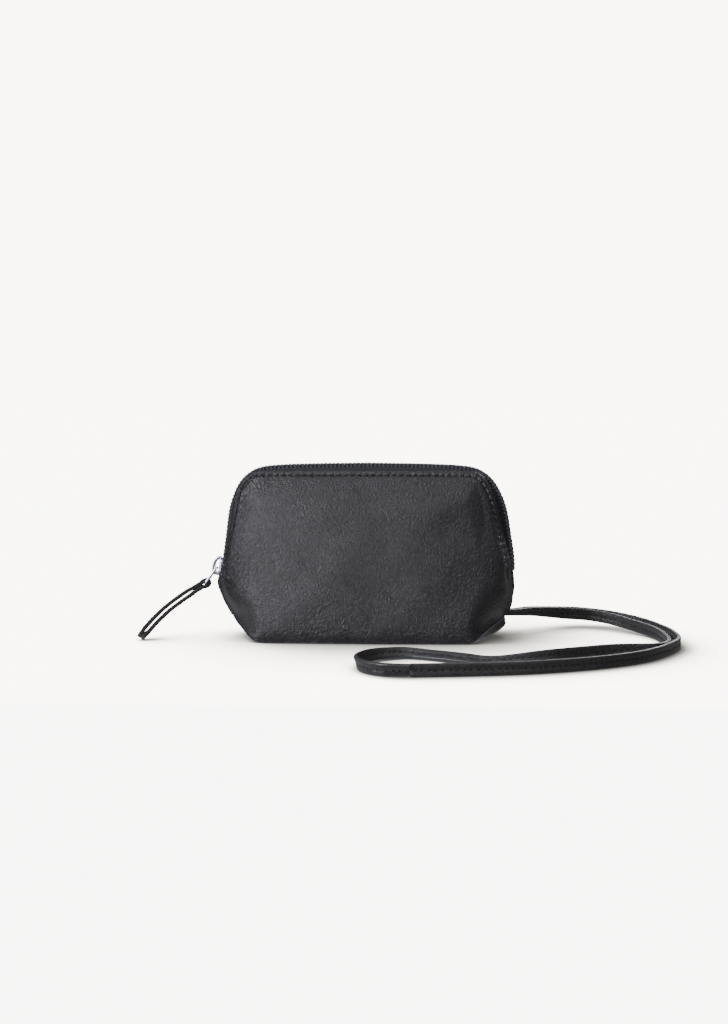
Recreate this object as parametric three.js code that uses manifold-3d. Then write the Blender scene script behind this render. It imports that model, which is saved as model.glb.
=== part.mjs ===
// A small zipped leather makeup bag: two wrapped side panels on a boat-shaped base, a metal zip that runs
// up one end, over the top and down the other end, a slider with a leather pull, and a long looped strap
// sewn into the right-hand end seam.
//
// Frame: millimetres. +X runs along the bag towards the strap end, +Y to the back, +Z up. The origin is
// on the floor under the middle of the base.

import * as THREE from "three";
import { mergeVertices } from "three/addons/utils/BufferGeometryUtils.js";
import Module from "manifold-3d";

const wasm = await Module();
wasm.setup();

// ---------------------------------------------------------------- driving dimensions

const BAG = {
  height: 105.3, // floor to the outside of the zip teeth
  zipEndX: 89.5, // half length at the lower ends of the zip
  zipEndZ: 31, // where the end seam stops and the zip mouth starts to open
  mouthOpenZ: 36.5, // where the mouth has its full width
  lean: THREE.MathUtils.degToRad(6.8), // how far the two ends lean in towards the top
  cornerRadius: 30, // top corners, at the outside of the teeth
  seamFootX: 82, // foot of the end seam, where it meets the base seam
  seamFootZ: 13,
  baseCornerX: 64, // sharp corners of the base, front and back
  baseHalfDepth: 33,
};
const LEATHER = 1.4;
const GAP = 0.3; // air left between neighbouring pieces
const SEAM_HALF_GAP = 1.35; // panel edge to the middle plane along the end seams
const MOUTH_HALF_GAP = 6.6; // panel edge to the middle plane along the zip
const MOUTH_INSET = 4; // panel edge below the outside of the teeth
const BASE_LIFT = 0.8; // lower edge of a panel above the floor
const LINING = { offset: LEATHER + GAP, thickness: 0.5, foot: 4.2 };
const BOARD = { halfLength: 56, halfWidth: 26, thickness: 1.2, corner: 6 };
const TEETH = { pitch: 2.45, depth: 3.4, halfWidth: 3, cordHalfWidth: 2.1, innerGap: 0.6, startZ: 39 };
const TAPE = { thickness: 0.6, startZ: 38.8 };
const TAB = { half: 0.38, proud: 0.6, depth: 1.7, above: 3.5, footClearance: 1, strapClearance: 6.5 };
const SLIDER = { z: 42.2, halfLength: 5, halfWidth: 4.4, plate: 1, channelHalf: 3.4, bottomHalf: 3.2 };
const BRIDGE = { halfLength: 4.6, foot: SLIDER.plate + 2 * GAP, top: 5.6, bar: 1.1, halfWidth: 1.5 };
const LINK = { pivotX: -1.6, pivotZ: 2.9, length: 11.7, bar: 1, thickness: 0.9, windowHalf: 3 };
const LINK_ANGLE = THREE.MathUtils.degToRad(36); // the link at rest, out from straight down
const PULL = {
  length: 47.3,
  width: 5.4,
  ply: 1.6,
  bow: 2.6,
  halfGap: 0.6,
  slitFrom: 7,
  slitTo: 41,
  nose: 2.3,
  hole: 1.1,
  stations: 14,
  sweep: 25, // how far the free end lies towards the front
};
const PULL_DROP = THREE.MathUtils.degToRad(37.9); // the pull at rest, below the horizontal
const STRAP = { width: 6.6, layer: 1, endZ: 14.8, endWidth: 4.4, settle: 105 };

const COLOURS = {
  leather: 0x3b3b3e,
  edge: 0x2a2a2c,
  lining: 0x4a4744,
  board: 0x8a7a66,
  tape: 0x1d1f27,
  teeth: 0x23252d,
  metal: 0xc4c8d0,
};

// ---------------------------------------------------------------- small helpers

const clamp01 = (t) => Math.min(1, Math.max(0, t));

function smoothstep(a, b, x) {
  const t = clamp01((x - a) / (b - a));
  return t * t * (3 - 2 * t);
}

function softMin(a, b, radius) {
  const h = Math.max(radius - Math.abs(a - b), 0) / radius;
  return Math.min(a, b) - (h * h * radius) / 4;
}

const material = (colour, roughness, metalness = 0) =>
  new THREE.MeshStandardMaterial({ color: colour, roughness, metalness });

const leather = material(COLOURS.leather, 0.5);
const darkLeather = material(COLOURS.edge, 0.55);
const fabric = material(COLOURS.lining, 0.9);
const metal = material(COLOURS.metal, 0.25, 1);

function meshOf(name, geometry, look) {
  const mesh = new THREE.Mesh(geometry, look);
  mesh.name = name;
  return mesh;
}

function manifoldOf(geometry) {
  const bare = geometry.clone().deleteAttribute("normal").deleteAttribute("uv");
  const merged = mergeVertices(bare, 1e-4);
  return new wasm.Manifold(
    new wasm.Mesh({
      numProp: 3,
      vertProperties: new Float32Array(merged.attributes.position.array),
      triVerts: new Uint32Array(merged.index.array),
    }),
  );
}

function geometryOf(solid) {
  const { numProp, vertProperties, triVerts, numVert } = solid.getMesh();
  const positions = new Float32Array(numVert * 3);
  for (let i = 0; i < numVert; i++) {
    positions.set(vertProperties.subarray(i * numProp, i * numProp + 3), i * 3);
  }
  const geometry = new THREE.BufferGeometry();
  geometry.setAttribute("position", new THREE.BufferAttribute(positions, 3));
  geometry.setIndex(new THREE.BufferAttribute(triVerts, 1));
  geometry.computeVertexNormals();
  return geometry;
}

function box(x0, x1, y0, y1, z0, z1) {
  const g = new THREE.BoxGeometry(x1 - x0, y1 - y0, z1 - z0);
  return g.translate((x0 + x1) / 2, (y0 + y1) / 2, (z0 + z1) / 2);
}

function roundedRectangle(halfX, halfY, radius, Kind = THREE.Shape) {
  const s = new Kind();
  s.moveTo(-halfX + radius, -halfY);
  s.lineTo(halfX - radius, -halfY);
  s.absarc(halfX - radius, -halfY + radius, radius, -Math.PI / 2, 0);
  s.lineTo(halfX, halfY - radius);
  s.absarc(halfX - radius, halfY - radius, radius, 0, Math.PI / 2);
  s.lineTo(-halfX + radius, halfY);
  s.absarc(-halfX + radius, halfY - radius, radius, Math.PI / 2, Math.PI);
  s.lineTo(-halfX, -halfY + radius);
  s.absarc(-halfX + radius, -halfY + radius, radius, Math.PI, 1.5 * Math.PI);
  return s;
}

// A closed solid from two matching grids of points, outer[row][column] and inner[row][column].
function solidBetween(outer, inner) {
  const rows = outer.length;
  const columns = outer[0].length;
  const positions = [...outer.flat(), ...inner.flat()].flatMap((p) => [p.x, p.y, p.z]);
  const at = (layer, i, j) => layer * rows * columns + i * columns + j;
  const index = [];
  const quad = (a, b, c, d) => index.push(a, b, c, a, c, d);
  for (let i = 0; i + 1 < rows; i++) {
    for (let j = 0; j + 1 < columns; j++) {
      quad(at(0, i, j), at(0, i, j + 1), at(0, i + 1, j + 1), at(0, i + 1, j));
      quad(at(1, i, j), at(1, i + 1, j), at(1, i + 1, j + 1), at(1, i, j + 1));
    }
    const last = columns - 1;
    quad(at(0, i, 0), at(0, i + 1, 0), at(1, i + 1, 0), at(1, i, 0));
    quad(at(0, i, last), at(1, i, last), at(1, i + 1, last), at(0, i + 1, last));
  }
  for (let j = 0; j + 1 < columns; j++) {
    const last = rows - 1;
    quad(at(0, 0, j), at(1, 0, j), at(1, 0, j + 1), at(0, 0, j + 1));
    quad(at(0, last, j), at(0, last, j + 1), at(1, last, j + 1), at(1, last, j));
  }
  const geometry = new THREE.BufferGeometry();
  geometry.setAttribute("position", new THREE.Float32BufferAttribute(positions, 3));
  geometry.setIndex(index);
  geometry.computeVertexNormals();
  return geometry;
}

// A closed solid through a row of rings that each have the same number of points.
function solidThroughRings(rings) {
  const n = rings[0].length;
  const positions = rings.flat().flatMap((p) => [p.x, p.y, p.z]);
  const index = [];
  for (let i = 0; i + 1 < rings.length; i++) {
    for (let j = 0; j < n; j++) {
      const a = i * n + j;
      const b = i * n + ((j + 1) % n);
      index.push(a, b, b + n, a, b + n, a + n);
    }
  }
  const last = (rings.length - 1) * n;
  for (const [a, b, c] of THREE.ShapeUtils.triangulateShape(capOutline(rings[0]), [])) {
    index.push(c, b, a, last + a, last + b, last + c);
  }
  const geometry = new THREE.BufferGeometry();
  geometry.setAttribute("position", new THREE.Float32BufferAttribute(positions, 3));
  geometry.setIndex(index);
  geometry.computeVertexNormals();
  return geometry;
}

// A ring's points in its own plane, counter-clockwise, for triangulating the end caps.
function capOutline(ring) {
  const origin = ring[0];
  const u = ring[1].clone().sub(origin).normalize();
  const normal = new THREE.Vector3();
  for (let i = 1; i + 1 < ring.length; i++) {
    const a = ring[i].clone().sub(origin);
    normal.add(a.cross(ring[i + 1].clone().sub(origin)));
  }
  const v = normal.normalize().clone().cross(u);
  return ring.map((p) => {
    const d = p.clone().sub(origin);
    return new THREE.Vector2(d.dot(u), d.dot(v));
  });
}

// Mirrors a geometry to the other side of the bag's middle plane, keeping its faces pointing out.
function mirroredInY(geometry) {
  const flipped = geometry.clone();
  flipped.scale(1, -1, 1);
  const index = Array.from(flipped.index.array);
  for (let i = 0; i < index.length; i += 3) {
    [index[i + 1], index[i + 2]] = [index[i + 2], index[i + 1]];
  }
  flipped.setIndex(index);
  flipped.computeVertexNormals();
  return flipped;
}

// ---------------------------------------------------------------- the zip's path, in the plane y = 0

const SIDE = new THREE.Vector2(-Math.sin(BAG.lean), Math.cos(BAG.lean)); // up the right-hand end
const SIDE_NORMAL = new THREE.Vector2(Math.cos(BAG.lean), Math.sin(BAG.lean));

// Right-hand half of the line that lies `inset` inside the outside of the teeth.
function mouthLine(inset) {
  const radius = BAG.cornerRadius - inset;
  const top = BAG.height - inset;
  const foot = new THREE.Vector2(BAG.zipEndX, BAG.zipEndZ).addScaledVector(SIDE_NORMAL, -inset);
  const centreZ = top - radius;
  const alongSide = (centreZ + radius * SIDE_NORMAL.y - foot.y) / SIDE.y;
  const tangent = foot.clone().addScaledVector(SIDE, alongSide);
  const centre = tangent.clone().addScaledVector(SIDE_NORMAL, -radius);
  return { foot, tangent, centre, radius, top, alongSide };
}

// Points and outward normals along the whole mouth line, left foot to right foot, from height startZ.
function mouthFrames(inset, startZ, sideSteps, cornerSteps, topSteps) {
  const line = mouthLine(inset);
  const right = [];
  const first = line.foot.clone().addScaledVector(SIDE, (startZ - line.foot.y) / SIDE.y);
  for (let i = 0; i < sideSteps; i++) {
    right.push({ p: first.clone().lerp(line.tangent, i / sideSteps), n: SIDE_NORMAL.clone() });
  }
  for (let i = 0; i <= cornerSteps; i++) {
    const angle = BAG.lean + (i / cornerSteps) * (Math.PI / 2 - BAG.lean);
    const n = new THREE.Vector2(Math.cos(angle), Math.sin(angle));
    right.push({ p: line.centre.clone().addScaledVector(n, line.radius), n });
  }
  const top = [];
  for (let i = 1; i < topSteps; i++) {
    const x = THREE.MathUtils.lerp(-line.centre.x, line.centre.x, i / topSteps);
    top.push({ p: new THREE.Vector2(x, line.top), n: new THREE.Vector2(0, 1) });
  }
  const mirrored = ({ p, n }) => ({ p: new THREE.Vector2(-p.x, p.y), n: new THREE.Vector2(-n.x, n.y) });
  return [...right.map(mirrored), ...top, ...right.reverse()];
}

// Frames evenly spaced along the mouth line, for the teeth.
function evenMouthFrames(startZ, step) {
  const fine = mouthFrames(0, startZ, 12, 24, 12);
  const lengths = [0];
  for (let i = 1; i < fine.length; i++) lengths.push(lengths[i - 1] + fine[i].p.distanceTo(fine[i - 1].p));
  const total = lengths.at(-1);
  const count = Math.round(total / step);
  const frames = [];
  let k = 0;
  for (let i = 0; i <= count; i++) {
    const s = (i / count) * total;
    while (k + 2 < lengths.length && lengths[k + 1] < s) k++;
    const t = (s - lengths[k]) / (lengths[k + 1] - lengths[k]);
    const p = fine[k].p.clone().lerp(fine[k + 1].p, t);
    frames.push({ p, n: fine[k].n.clone().lerp(fine[k + 1].n, t).normalize() });
  }
  return frames;
}

// A point `depth` below the outside of the teeth and `y` from the middle plane.
function belowTeeth({ p, n }, depth, y) {
  return new THREE.Vector3(p.x - n.x * depth, y, p.y - n.y * depth);
}

// ---------------------------------------------------------------- leather panels

const openness = (z) => smoothstep(BAG.zipEndZ, BAG.mouthOpenZ, z);
const edgeInset = (z) => MOUTH_INSET * openness(z);
const edgeHalfGap = (z) => SEAM_HALF_GAP + (MOUTH_HALF_GAP - SEAM_HALF_GAP) * openness(z);
const fullLine = mouthLine(MOUTH_INSET);

// Half length of a panel at height z, out to its edge.
function panelHalfLength(z) {
  if (z <= BAG.zipEndZ) {
    const t = clamp01((z - BAG.seamFootZ) / (BAG.zipEndZ - BAG.seamFootZ));
    const bulge = 1.6 * Math.sin(Math.PI * t);
    return THREE.MathUtils.lerp(BAG.seamFootX, BAG.zipEndX, t) + bulge;
  }
  if (z > fullLine.tangent.y) {
    const up = Math.min(z - fullLine.centre.y, fullLine.radius);
    return fullLine.centre.x + Math.sqrt(Math.max(fullLine.radius ** 2 - up ** 2, 0));
  }
  return BAG.zipEndX - (z - BAG.zipEndZ) * Math.tan(BAG.lean) - edgeInset(z) / Math.cos(BAG.lean);
}

// How far a point of a panel lies inside the panel's edge, and the edge's direction (0 end, 1 top).
function insideEdge(x, z) {
  const dx = Math.abs(x) - fullLine.centre.x;
  const dz = z - fullLine.centre.y;
  const angle = Math.atan2(dz, dx);
  if (dz > 0 && angle > BAG.lean && angle < Math.PI / 2) {
    return { inside: fullLine.radius - Math.hypot(dx, dz), top: Math.sin(angle) };
  }
  if (angle >= Math.PI / 2) return { inside: fullLine.top - z, top: 1 };
  return { inside: (panelHalfLength(z) - Math.abs(x)) * Math.cos(BAG.lean), top: 0.1 };
}

// Height of the base seam: level along the sides, rising to the foot of each end seam.
function baseSeamZ(x) {
  const t = clamp01((Math.abs(x) - BAG.baseCornerX) / (BAG.seamFootX - BAG.baseCornerX));
  return BASE_LIFT + (BAG.seamFootZ - BASE_LIFT) * t ** 1.4;
}

// Distance of a panel's surface from the middle plane.
function panelDepth(x, z) {
  const { inside, top } = insideEdge(x, z);
  const rise = clamp01(z / BAG.height);
  const face = 34.8 - 17.5 * rise ** 1.6 - 1.2 * (x / BAG.zipEndX) ** 2;
  const tuck = 1.6 * (1 - clamp01(z / 7)) ** 2;
  const slope = THREE.MathUtils.lerp(1.95, 1.15, top);
  const side = edgeHalfGap(z) + slope * Math.max(inside, 0);
  return softMin(face - tuck, side, 5 + 7 * smoothstep(4, 70, z));
}

// Heights of the grid rows, evenly spaced along the panel's side edge between two heights.
const COLUMNS = 16;
const COLUMN_SPREAD = 0.8 * Math.PI; // columns crowd towards the ends, where the panel turns most
function evenRows(fromZ, toZ, steps) {
  const samples = 200;
  const edge = [];
  for (let i = 0; i <= samples; i++) {
    const z = THREE.MathUtils.lerp(fromZ, toZ, i / samples);
    edge.push(new THREE.Vector2(panelHalfLength(z), z));
  }
  if (toZ === fullLine.top) edge.push(new THREE.Vector2(fullLine.centre.x, toZ));
  const path = [0];
  for (let i = 1; i < edge.length; i++) path.push(path[i - 1] + edge[i].distanceTo(edge[i - 1]));
  const heights = [];
  for (let i = 1; i <= steps; i++) {
    const s = (i / steps) * path.at(-1);
    const k = path.findIndex((d) => d >= s - 1e-9);
    const t = clamp01((s - path[k - 1]) / (path[k] - path[k - 1]));
    heights.push(THREE.MathUtils.lerp(edge[k - 1].y, edge[k].y, t));
  }
  return heights;
}

function panelRows() {
  return [
    BAG.seamFootZ,
    ...evenRows(BAG.seamFootZ, BAG.zipEndZ, 2),
    ...evenRows(BAG.zipEndZ, BAG.mouthOpenZ - 1, 2),
    ...evenRows(BAG.mouthOpenZ - 1, fullLine.top, 10),
  ];
}

// A front panel point: u runs from end to end, z is the row's height at the panel's ends.
function panelPoint(u, z) {
  const x = u * panelHalfLength(z);
  const settle = 1 - smoothstep(BAG.seamFootZ, BAG.zipEndZ + 8, z);
  const height = z - (BAG.seamFootZ - baseSeamZ(x)) * settle;
  return new THREE.Vector3(x, -panelDepth(x, height), height);
}

function panelNormal(u, z) {
  const step = 1e-3;
  const high = Math.min(z + step, fullLine.top);
  const du = panelPoint(u + step, z).sub(panelPoint(u - step, z));
  const dz = panelPoint(u, high).sub(panelPoint(u, high - 2 * step));
  return du.cross(dz).normalize();
}

// A front sheet `offset` inside the leather's outer surface, without the last `trim` columns at each end.
function frontSheet(offset, thickness, heights, trim) {
  const layer = (inset) =>
    heights.map((z) => {
      const row = [];
      for (let j = trim; j <= COLUMNS - trim; j++) {
        const u = Math.sin((j / COLUMNS - 0.5) * COLUMN_SPREAD) / Math.sin(COLUMN_SPREAD / 2);
        row.push(panelPoint(u, z).addScaledVector(panelNormal(u, z), -inset));
      }
      return row;
    });
  return solidBetween(layer(offset), layer(offset + thickness));
}

function addPanels(group) {
  const heights = panelRows();
  const panel = frontSheet(0, LEATHER, heights, 0);
  group.add(meshOf("front_panel", panel, leather));
  group.add(meshOf("back_panel", mirroredInY(panel), leather));
  const inner = heights.slice(1, -1);
  const lining = frontSheet(LINING.offset, LINING.thickness, inner, 1);
  group.add(meshOf("front_lining", lining, fabric));
  group.add(meshOf("back_lining", mirroredInY(lining), fabric));
}

// ---------------------------------------------------------------- base

// A sheet over the base, `inset` inside the panels' lower edges, with its underside at `lift`.
function baseSheet(inset, lift, thickness) {
  const steps = 22;
  const acrossSteps = 4;
  const end = BAG.seamFootX - inset - 1;
  const layer = (height) => {
    const rows = [];
    for (let i = 0; i <= steps; i++) {
      const x = end * Math.sin((i / steps - 0.5) * Math.PI);
      const half = Math.max(panelDepth(x * 1.015, baseSeamZ(x)) - inset * 1.25, 0.6);
      const z = baseSeamZ(x) - BASE_LIFT + height;
      const row = [];
      for (let j = 0; j <= acrossSteps; j++) {
        row.push(new THREE.Vector3(x, THREE.MathUtils.lerp(-half, half, j / acrossSteps), z));
      }
      rows.push(row);
    }
    return rows;
  };
  return solidBetween(layer(lift), layer(lift + thickness));
}

function addBase(group) {
  group.add(meshOf("base_panel", baseSheet(LEATHER + GAP + 0.2, 0, LEATHER), darkLeather));
  const boardZ = LEATHER + GAP;
  const outline = roundedRectangle(BOARD.halfLength, BOARD.halfWidth, BOARD.corner);
  const board = new THREE.ExtrudeGeometry(outline, { depth: BOARD.thickness, bevelEnabled: false, curveSegments: 3 });
  const boardMesh = meshOf("base_board", board, material(COLOURS.board, 0.8));
  boardMesh.position.z = boardZ;
  group.add(boardMesh);
  const liningZ = boardZ + BOARD.thickness + GAP;
  group.add(meshOf("base_lining", baseSheet(LINING.foot, liningZ, LINING.thickness), fabric));
}

// ---------------------------------------------------------------- zip

// Half of the tape's section: depth below the teeth and distance from the middle plane.
const TAPE_LINE = [
  [2, 3.6],
  [3.4, 4.6],
  [6.9, 5.1],
  [9.4, 6.9],
];

function tapeSection() {
  const line = TAPE_LINE.map(([d, y]) => new THREE.Vector2(d, y));
  const upper = [];
  const lower = [];
  line.forEach((p, i) => {
    const before = line[Math.max(i - 1, 0)];
    const after = line[Math.min(i + 1, line.length - 1)];
    const along = after.clone().sub(before).normalize();
    const side = new THREE.Vector2(-along.y, along.x).multiplyScalar(TAPE.thickness / 2);
    upper.push(p.clone().add(side));
    lower.push(p.clone().sub(side));
  });
  return [...upper, ...lower.reverse()];
}

// Teeth on their cord: full size at the middle of each tooth, cord size between two teeth.
function rackRing(frame, isTooth) {
  const half = isTooth ? TEETH.halfWidth : TEETH.cordHalfWidth;
  const sink = isTooth ? 0 : 0.9;
  const low = TEETH.depth - sink;
  return [
    belowTeeth(frame, sink, -half),
    belowTeeth(frame, low, -half),
    belowTeeth(frame, low, -TEETH.innerGap),
    belowTeeth(frame, sink, -TEETH.innerGap),
  ];
}

function stopBlock(side, y0, y1, lowZ) {
  const line = mouthLine(0);
  const foot = line.foot.clone().addScaledVector(SIDE, (lowZ - line.foot.y) / SIDE.y);
  const tall = 1.7;
  const deep = { from: 0.4, to: 3.2 };
  const block = meshOf("", box(0, tall, y0, y1, -deep.to, -deep.from), null);
  block.position.set(side * foot.x, 0, foot.y);
  block.rotation.y = side < 0 ? -(Math.PI / 2 - BAG.lean) : Math.PI / 2 - BAG.lean;
  if (side > 0) block.geometry.translate(-tall, 0, 0);
  return block;
}

function addZip(group) {
  const rackFrames = evenMouthFrames(TEETH.startZ, TEETH.pitch / 2);
  const rack = solidThroughRings(rackFrames.map((f, i) => rackRing(f, i % 2 === 1)));
  const teethLook = material(COLOURS.teeth, 0.35, 0.9);
  group.add(meshOf("zip_teeth_front", rack, teethLook));
  group.add(meshOf("zip_teeth_back", mirroredInY(rack), teethLook));

  const section = tapeSection();
  const tapeFrames = mouthFrames(0, TAPE.startZ, 3, 10, 4);
  const tape = solidThroughRings(tapeFrames.map((f) => section.map((p) => belowTeeth(f, p.x, -p.y))));
  const tapeLook = material(COLOURS.tape, 0.9);
  group.add(meshOf("zip_tape_front", tape, tapeLook));
  group.add(meshOf("zip_tape_back", mirroredInY(tape), tapeLook));

  const stopZ = TEETH.startZ - 2.4;
  const stops = [
    ["top_stop_front", stopBlock(-1, -2.4, -0.5, stopZ)],
    ["top_stop_back", stopBlock(-1, 0.5, 2.4, stopZ)],
    ["bottom_stop", stopBlock(1, -2.4, 2.4, stopZ)],
  ];
  for (const [name, block] of stops) {
    block.name = name;
    block.material = name === "bottom_stop" ? teethLook : metal;
    group.add(block);
  }
  group.add(meshOf("zip_end_tab_left", endTab(-1), darkLeather));
  group.add(meshOf("zip_end_tab_right", endTab(1), darkLeather));
}

// The thin leather binding that closes one end of the zip and runs down inside the end seam.
function endTab(side) {
  const foot = BAG.seamFootZ + (side > 0 ? TAB.strapClearance : TAB.footClearance);
  const top = BAG.zipEndZ + TAB.above;
  const steps = 6;
  const rings = [];
  for (let i = 0; i <= steps; i++) {
    const z = THREE.MathUtils.lerp(foot, top, i / steps);
    const above = Math.max(z - BAG.zipEndZ, 0);
    const outer = panelHalfLength(z - above) - above * Math.tan(BAG.lean) + TAB.proud;
    const corner = (x, y) => new THREE.Vector3(side * x, side * y, z);
    rings.push([
      corner(outer - TAB.depth, -TAB.half),
      corner(outer, -TAB.half),
      corner(outer, TAB.half),
      corner(outer - TAB.depth, TAB.half),
    ]);
  }
  return solidThroughRings(rings);
}

// ---------------------------------------------------------------- slider, link and pull

// The slider's own frame: X up the left-hand end of the zip, Y to the back, Z outwards from the teeth.
function sliderFrame() {
  const line = mouthLine(0);
  const at = line.foot.clone().addScaledVector(SIDE, (SLIDER.z - line.foot.y) / SIDE.y);
  const frame = new THREE.Group();
  frame.position.set(-at.x, 0, at.y);
  frame.rotation.y = -(Math.PI / 2 - BAG.lean);
  return frame;
}

function sliderBody() {
  const { halfLength, halfWidth, plate, channelHalf, bottomHalf } = SLIDER;
  const outline = roundedRectangle(halfLength, halfWidth, 1.6);
  const top = new THREE.ExtrudeGeometry(outline, { depth: plate, bevelEnabled: false, curveSegments: 4 });
  top.translate(0, 0, GAP);
  const under = roundedRectangle(halfLength - 0.4, bottomHalf, 1.2);
  const bottom = new THREE.ExtrudeGeometry(under, { depth: plate, bevelEnabled: false, curveSegments: 4 });
  bottom.translate(0, 0, -TEETH.depth - 0.5 - plate);
  const post = box(-halfLength + 0.5, -halfLength + 2.5, -0.3, 0.3, -TEETH.depth - 1, GAP + 0.2);
  const flangeEnd = halfLength - 1.6;
  const flange = (a, b) => box(-flangeEnd, flangeEnd, a, b, -1.2, GAP + 0.2);
  const pieces = [bottom, post, flange(-halfWidth, -channelHalf), flange(channelHalf, halfWidth)];
  return geometryOf(pieces.reduce((whole, g) => whole.add(manifoldOf(g)), manifoldOf(top)));
}

// An arch that stands on the slider's top plate.
function sliderBridge() {
  const { halfLength, foot, top, bar, halfWidth } = BRIDGE;
  const corner = 1.8;
  const s = new THREE.Shape();
  s.moveTo(-halfLength, foot);
  s.lineTo(-halfLength, top - corner);
  s.absarc(-halfLength + corner, top - corner, corner, Math.PI, Math.PI / 2, true);
  s.lineTo(halfLength - corner, top);
  s.absarc(halfLength - corner, top - corner, corner, Math.PI / 2, 0, true);
  s.lineTo(halfLength, foot);
  s.lineTo(halfLength - bar, foot);
  s.lineTo(halfLength - bar, top - corner);
  s.absarc(halfLength - corner, top - corner, corner - bar, 0, Math.PI / 2);
  s.lineTo(-halfLength + corner, top - bar);
  s.absarc(-halfLength + corner, top - corner, corner - bar, Math.PI / 2, Math.PI);
  s.lineTo(-halfLength + bar, foot);
  const arch = new THREE.ExtrudeGeometry(s, { depth: 2 * halfWidth, bevelEnabled: false, curveSegments: 4 });
  return arch.rotateX(Math.PI / 2).translate(0, halfWidth, 0);
}

// A flat stamped frame: one bar turns in the bridge, the other carries the leather pull.
function linkGeometry() {
  const half = LINK.length / 2 + LINK.bar / 2;
  const outline = roundedRectangle(half, LINK.windowHalf + LINK.bar, 1.6);
  const window = roundedRectangle(half - LINK.bar, LINK.windowHalf, 0.9, THREE.Path);
  outline.holes.push(window);
  const g = new THREE.ExtrudeGeometry(outline, { depth: LINK.thickness, bevelEnabled: false, curveSegments: 4 });
  return g.translate(LINK.length / 2, 0, -LINK.thickness / 2);
}

// The leather pull: a strip folded round the link's end bar, its two plies bowed, apart along the middle
// and together again at the free end, and the whole strip curving towards the front.
function pullGeometry() {
  const { ply, length, bow, width, halfGap, slitFrom, slitTo, nose, hole } = PULL;
  const bowAt = (x) => bow * Math.sin(Math.PI * clamp01(x / length));
  const halfGapAt = (x) => halfGap * Math.sin(Math.PI * clamp01((x - slitFrom) / (slitTo - slitFrom)));
  const sideOf = (x, side) => new THREE.Vector2(x, bowAt(x) + side * (ply + halfGapAt(x)));
  const stations = Array.from({ length: PULL.stations }, (_, i) => (length * (i + 1)) / PULL.stations);
  const s = new THREE.Shape();
  s.absarc(0, 0, nose, Math.PI / 2, 1.5 * Math.PI);
  stations.forEach((x) => s.lineTo(x, sideOf(x, -1).y));
  [...stations].reverse().forEach((x) => s.lineTo(x, sideOf(x, 1).y));
  const eye = new THREE.Path();
  eye.absarc(0, 0, hole, 0, 2 * Math.PI);
  s.holes.push(eye);
  const slitXs = stations.filter((x) => x > slitFrom && x < slitTo);
  const slit = new THREE.Path();
  slit.moveTo(slitFrom, bowAt(slitFrom));
  slitXs.forEach((x) => slit.lineTo(x, bowAt(x) + halfGapAt(x)));
  slit.lineTo(slitTo, bowAt(slitTo));
  [...slitXs].reverse().forEach((x) => slit.lineTo(x, bowAt(x) - halfGapAt(x)));
  s.holes.push(slit);
  const g = new THREE.ExtrudeGeometry(s, { depth: width, bevelEnabled: false, curveSegments: 5 });
  g.translate(0, 0, -width / 2);
  const points = g.attributes.position;
  for (let i = 0; i < points.count; i++) {
    const sweep = PULL.sweep * Math.max(points.getX(i) / length, 0) ** 1.6;
    points.setZ(i, points.getZ(i) - sweep);
  }
  return g;
}

function addSlider(group) {
  const frame = sliderFrame();
  frame.add(meshOf("slider_body", sliderBody(), metal));
  frame.add(meshOf("slider_bridge", sliderBridge(), metal));
  group.add(frame);

  frame.updateMatrixWorld(true);
  const pivot = new THREE.Vector3(LINK.pivotX, 0, LINK.pivotZ).applyMatrix4(frame.matrixWorld);
  const link = meshOf("pull_link", linkGeometry(), metal);
  link.position.copy(pivot);
  link.rotation.y = Math.PI / 2 + LINK_ANGLE;
  group.add(link);

  const end = new THREE.Vector3(-Math.sin(LINK_ANGLE), 0, -Math.cos(LINK_ANGLE)).multiplyScalar(LINK.length);
  const pull = meshOf("pull_strip", pullGeometry(), darkLeather);
  pull.position.copy(pivot).add(end);
  const along = new THREE.Vector3(-Math.cos(PULL_DROP), 0, -Math.sin(PULL_DROP));
  const up = new THREE.Vector3(-Math.sin(PULL_DROP), 0, Math.cos(PULL_DROP));
  pull.quaternion.setFromRotationMatrix(new THREE.Matrix4().makeBasis(along, up, along.clone().cross(up)));
  group.add(pull);
}

// ---------------------------------------------------------------- strap

// Plan view of the strap's middle line, as it lies: out of the end seam, round behind the bag's right-hand
// end, forward, along the front, and back beside itself to the same seam.
const STRAP_PLAN = [
  [87.4, 1.6], [100, 22.5], [119.3, 42.2], [135.1, 47.4], [155.4, 39.3], [170.1, 24.4], [179.1, 1.8],
  [182.1, -22.1], [179.3, -49.2], [158.8, -84.7], [131.8, -106.9], [99.4, -122.3], [67.8, -130.7],
  [24, -137.1], [7.8, -133.8], [-1.2, -121.2], [0.6, -106.1], [16.8, -85.9], [28.7, -83.3],
  [54.4, -98.7], [65.7, -107.2], [76.6, -104.8], [102.1, -91.1], [132.3, -73.3], [147.1, -68.1],
  [162.1, -66.5], [169.9, -61.6], [174.4, -50.4], [175.4, -32.4], [173.6, -9.4], [165.8, 9.2],
  [150.9, 29.6], [135.4, 39.4], [119.6, 35.7], [103.1, 20], [87.4, -1.6],
];

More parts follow.
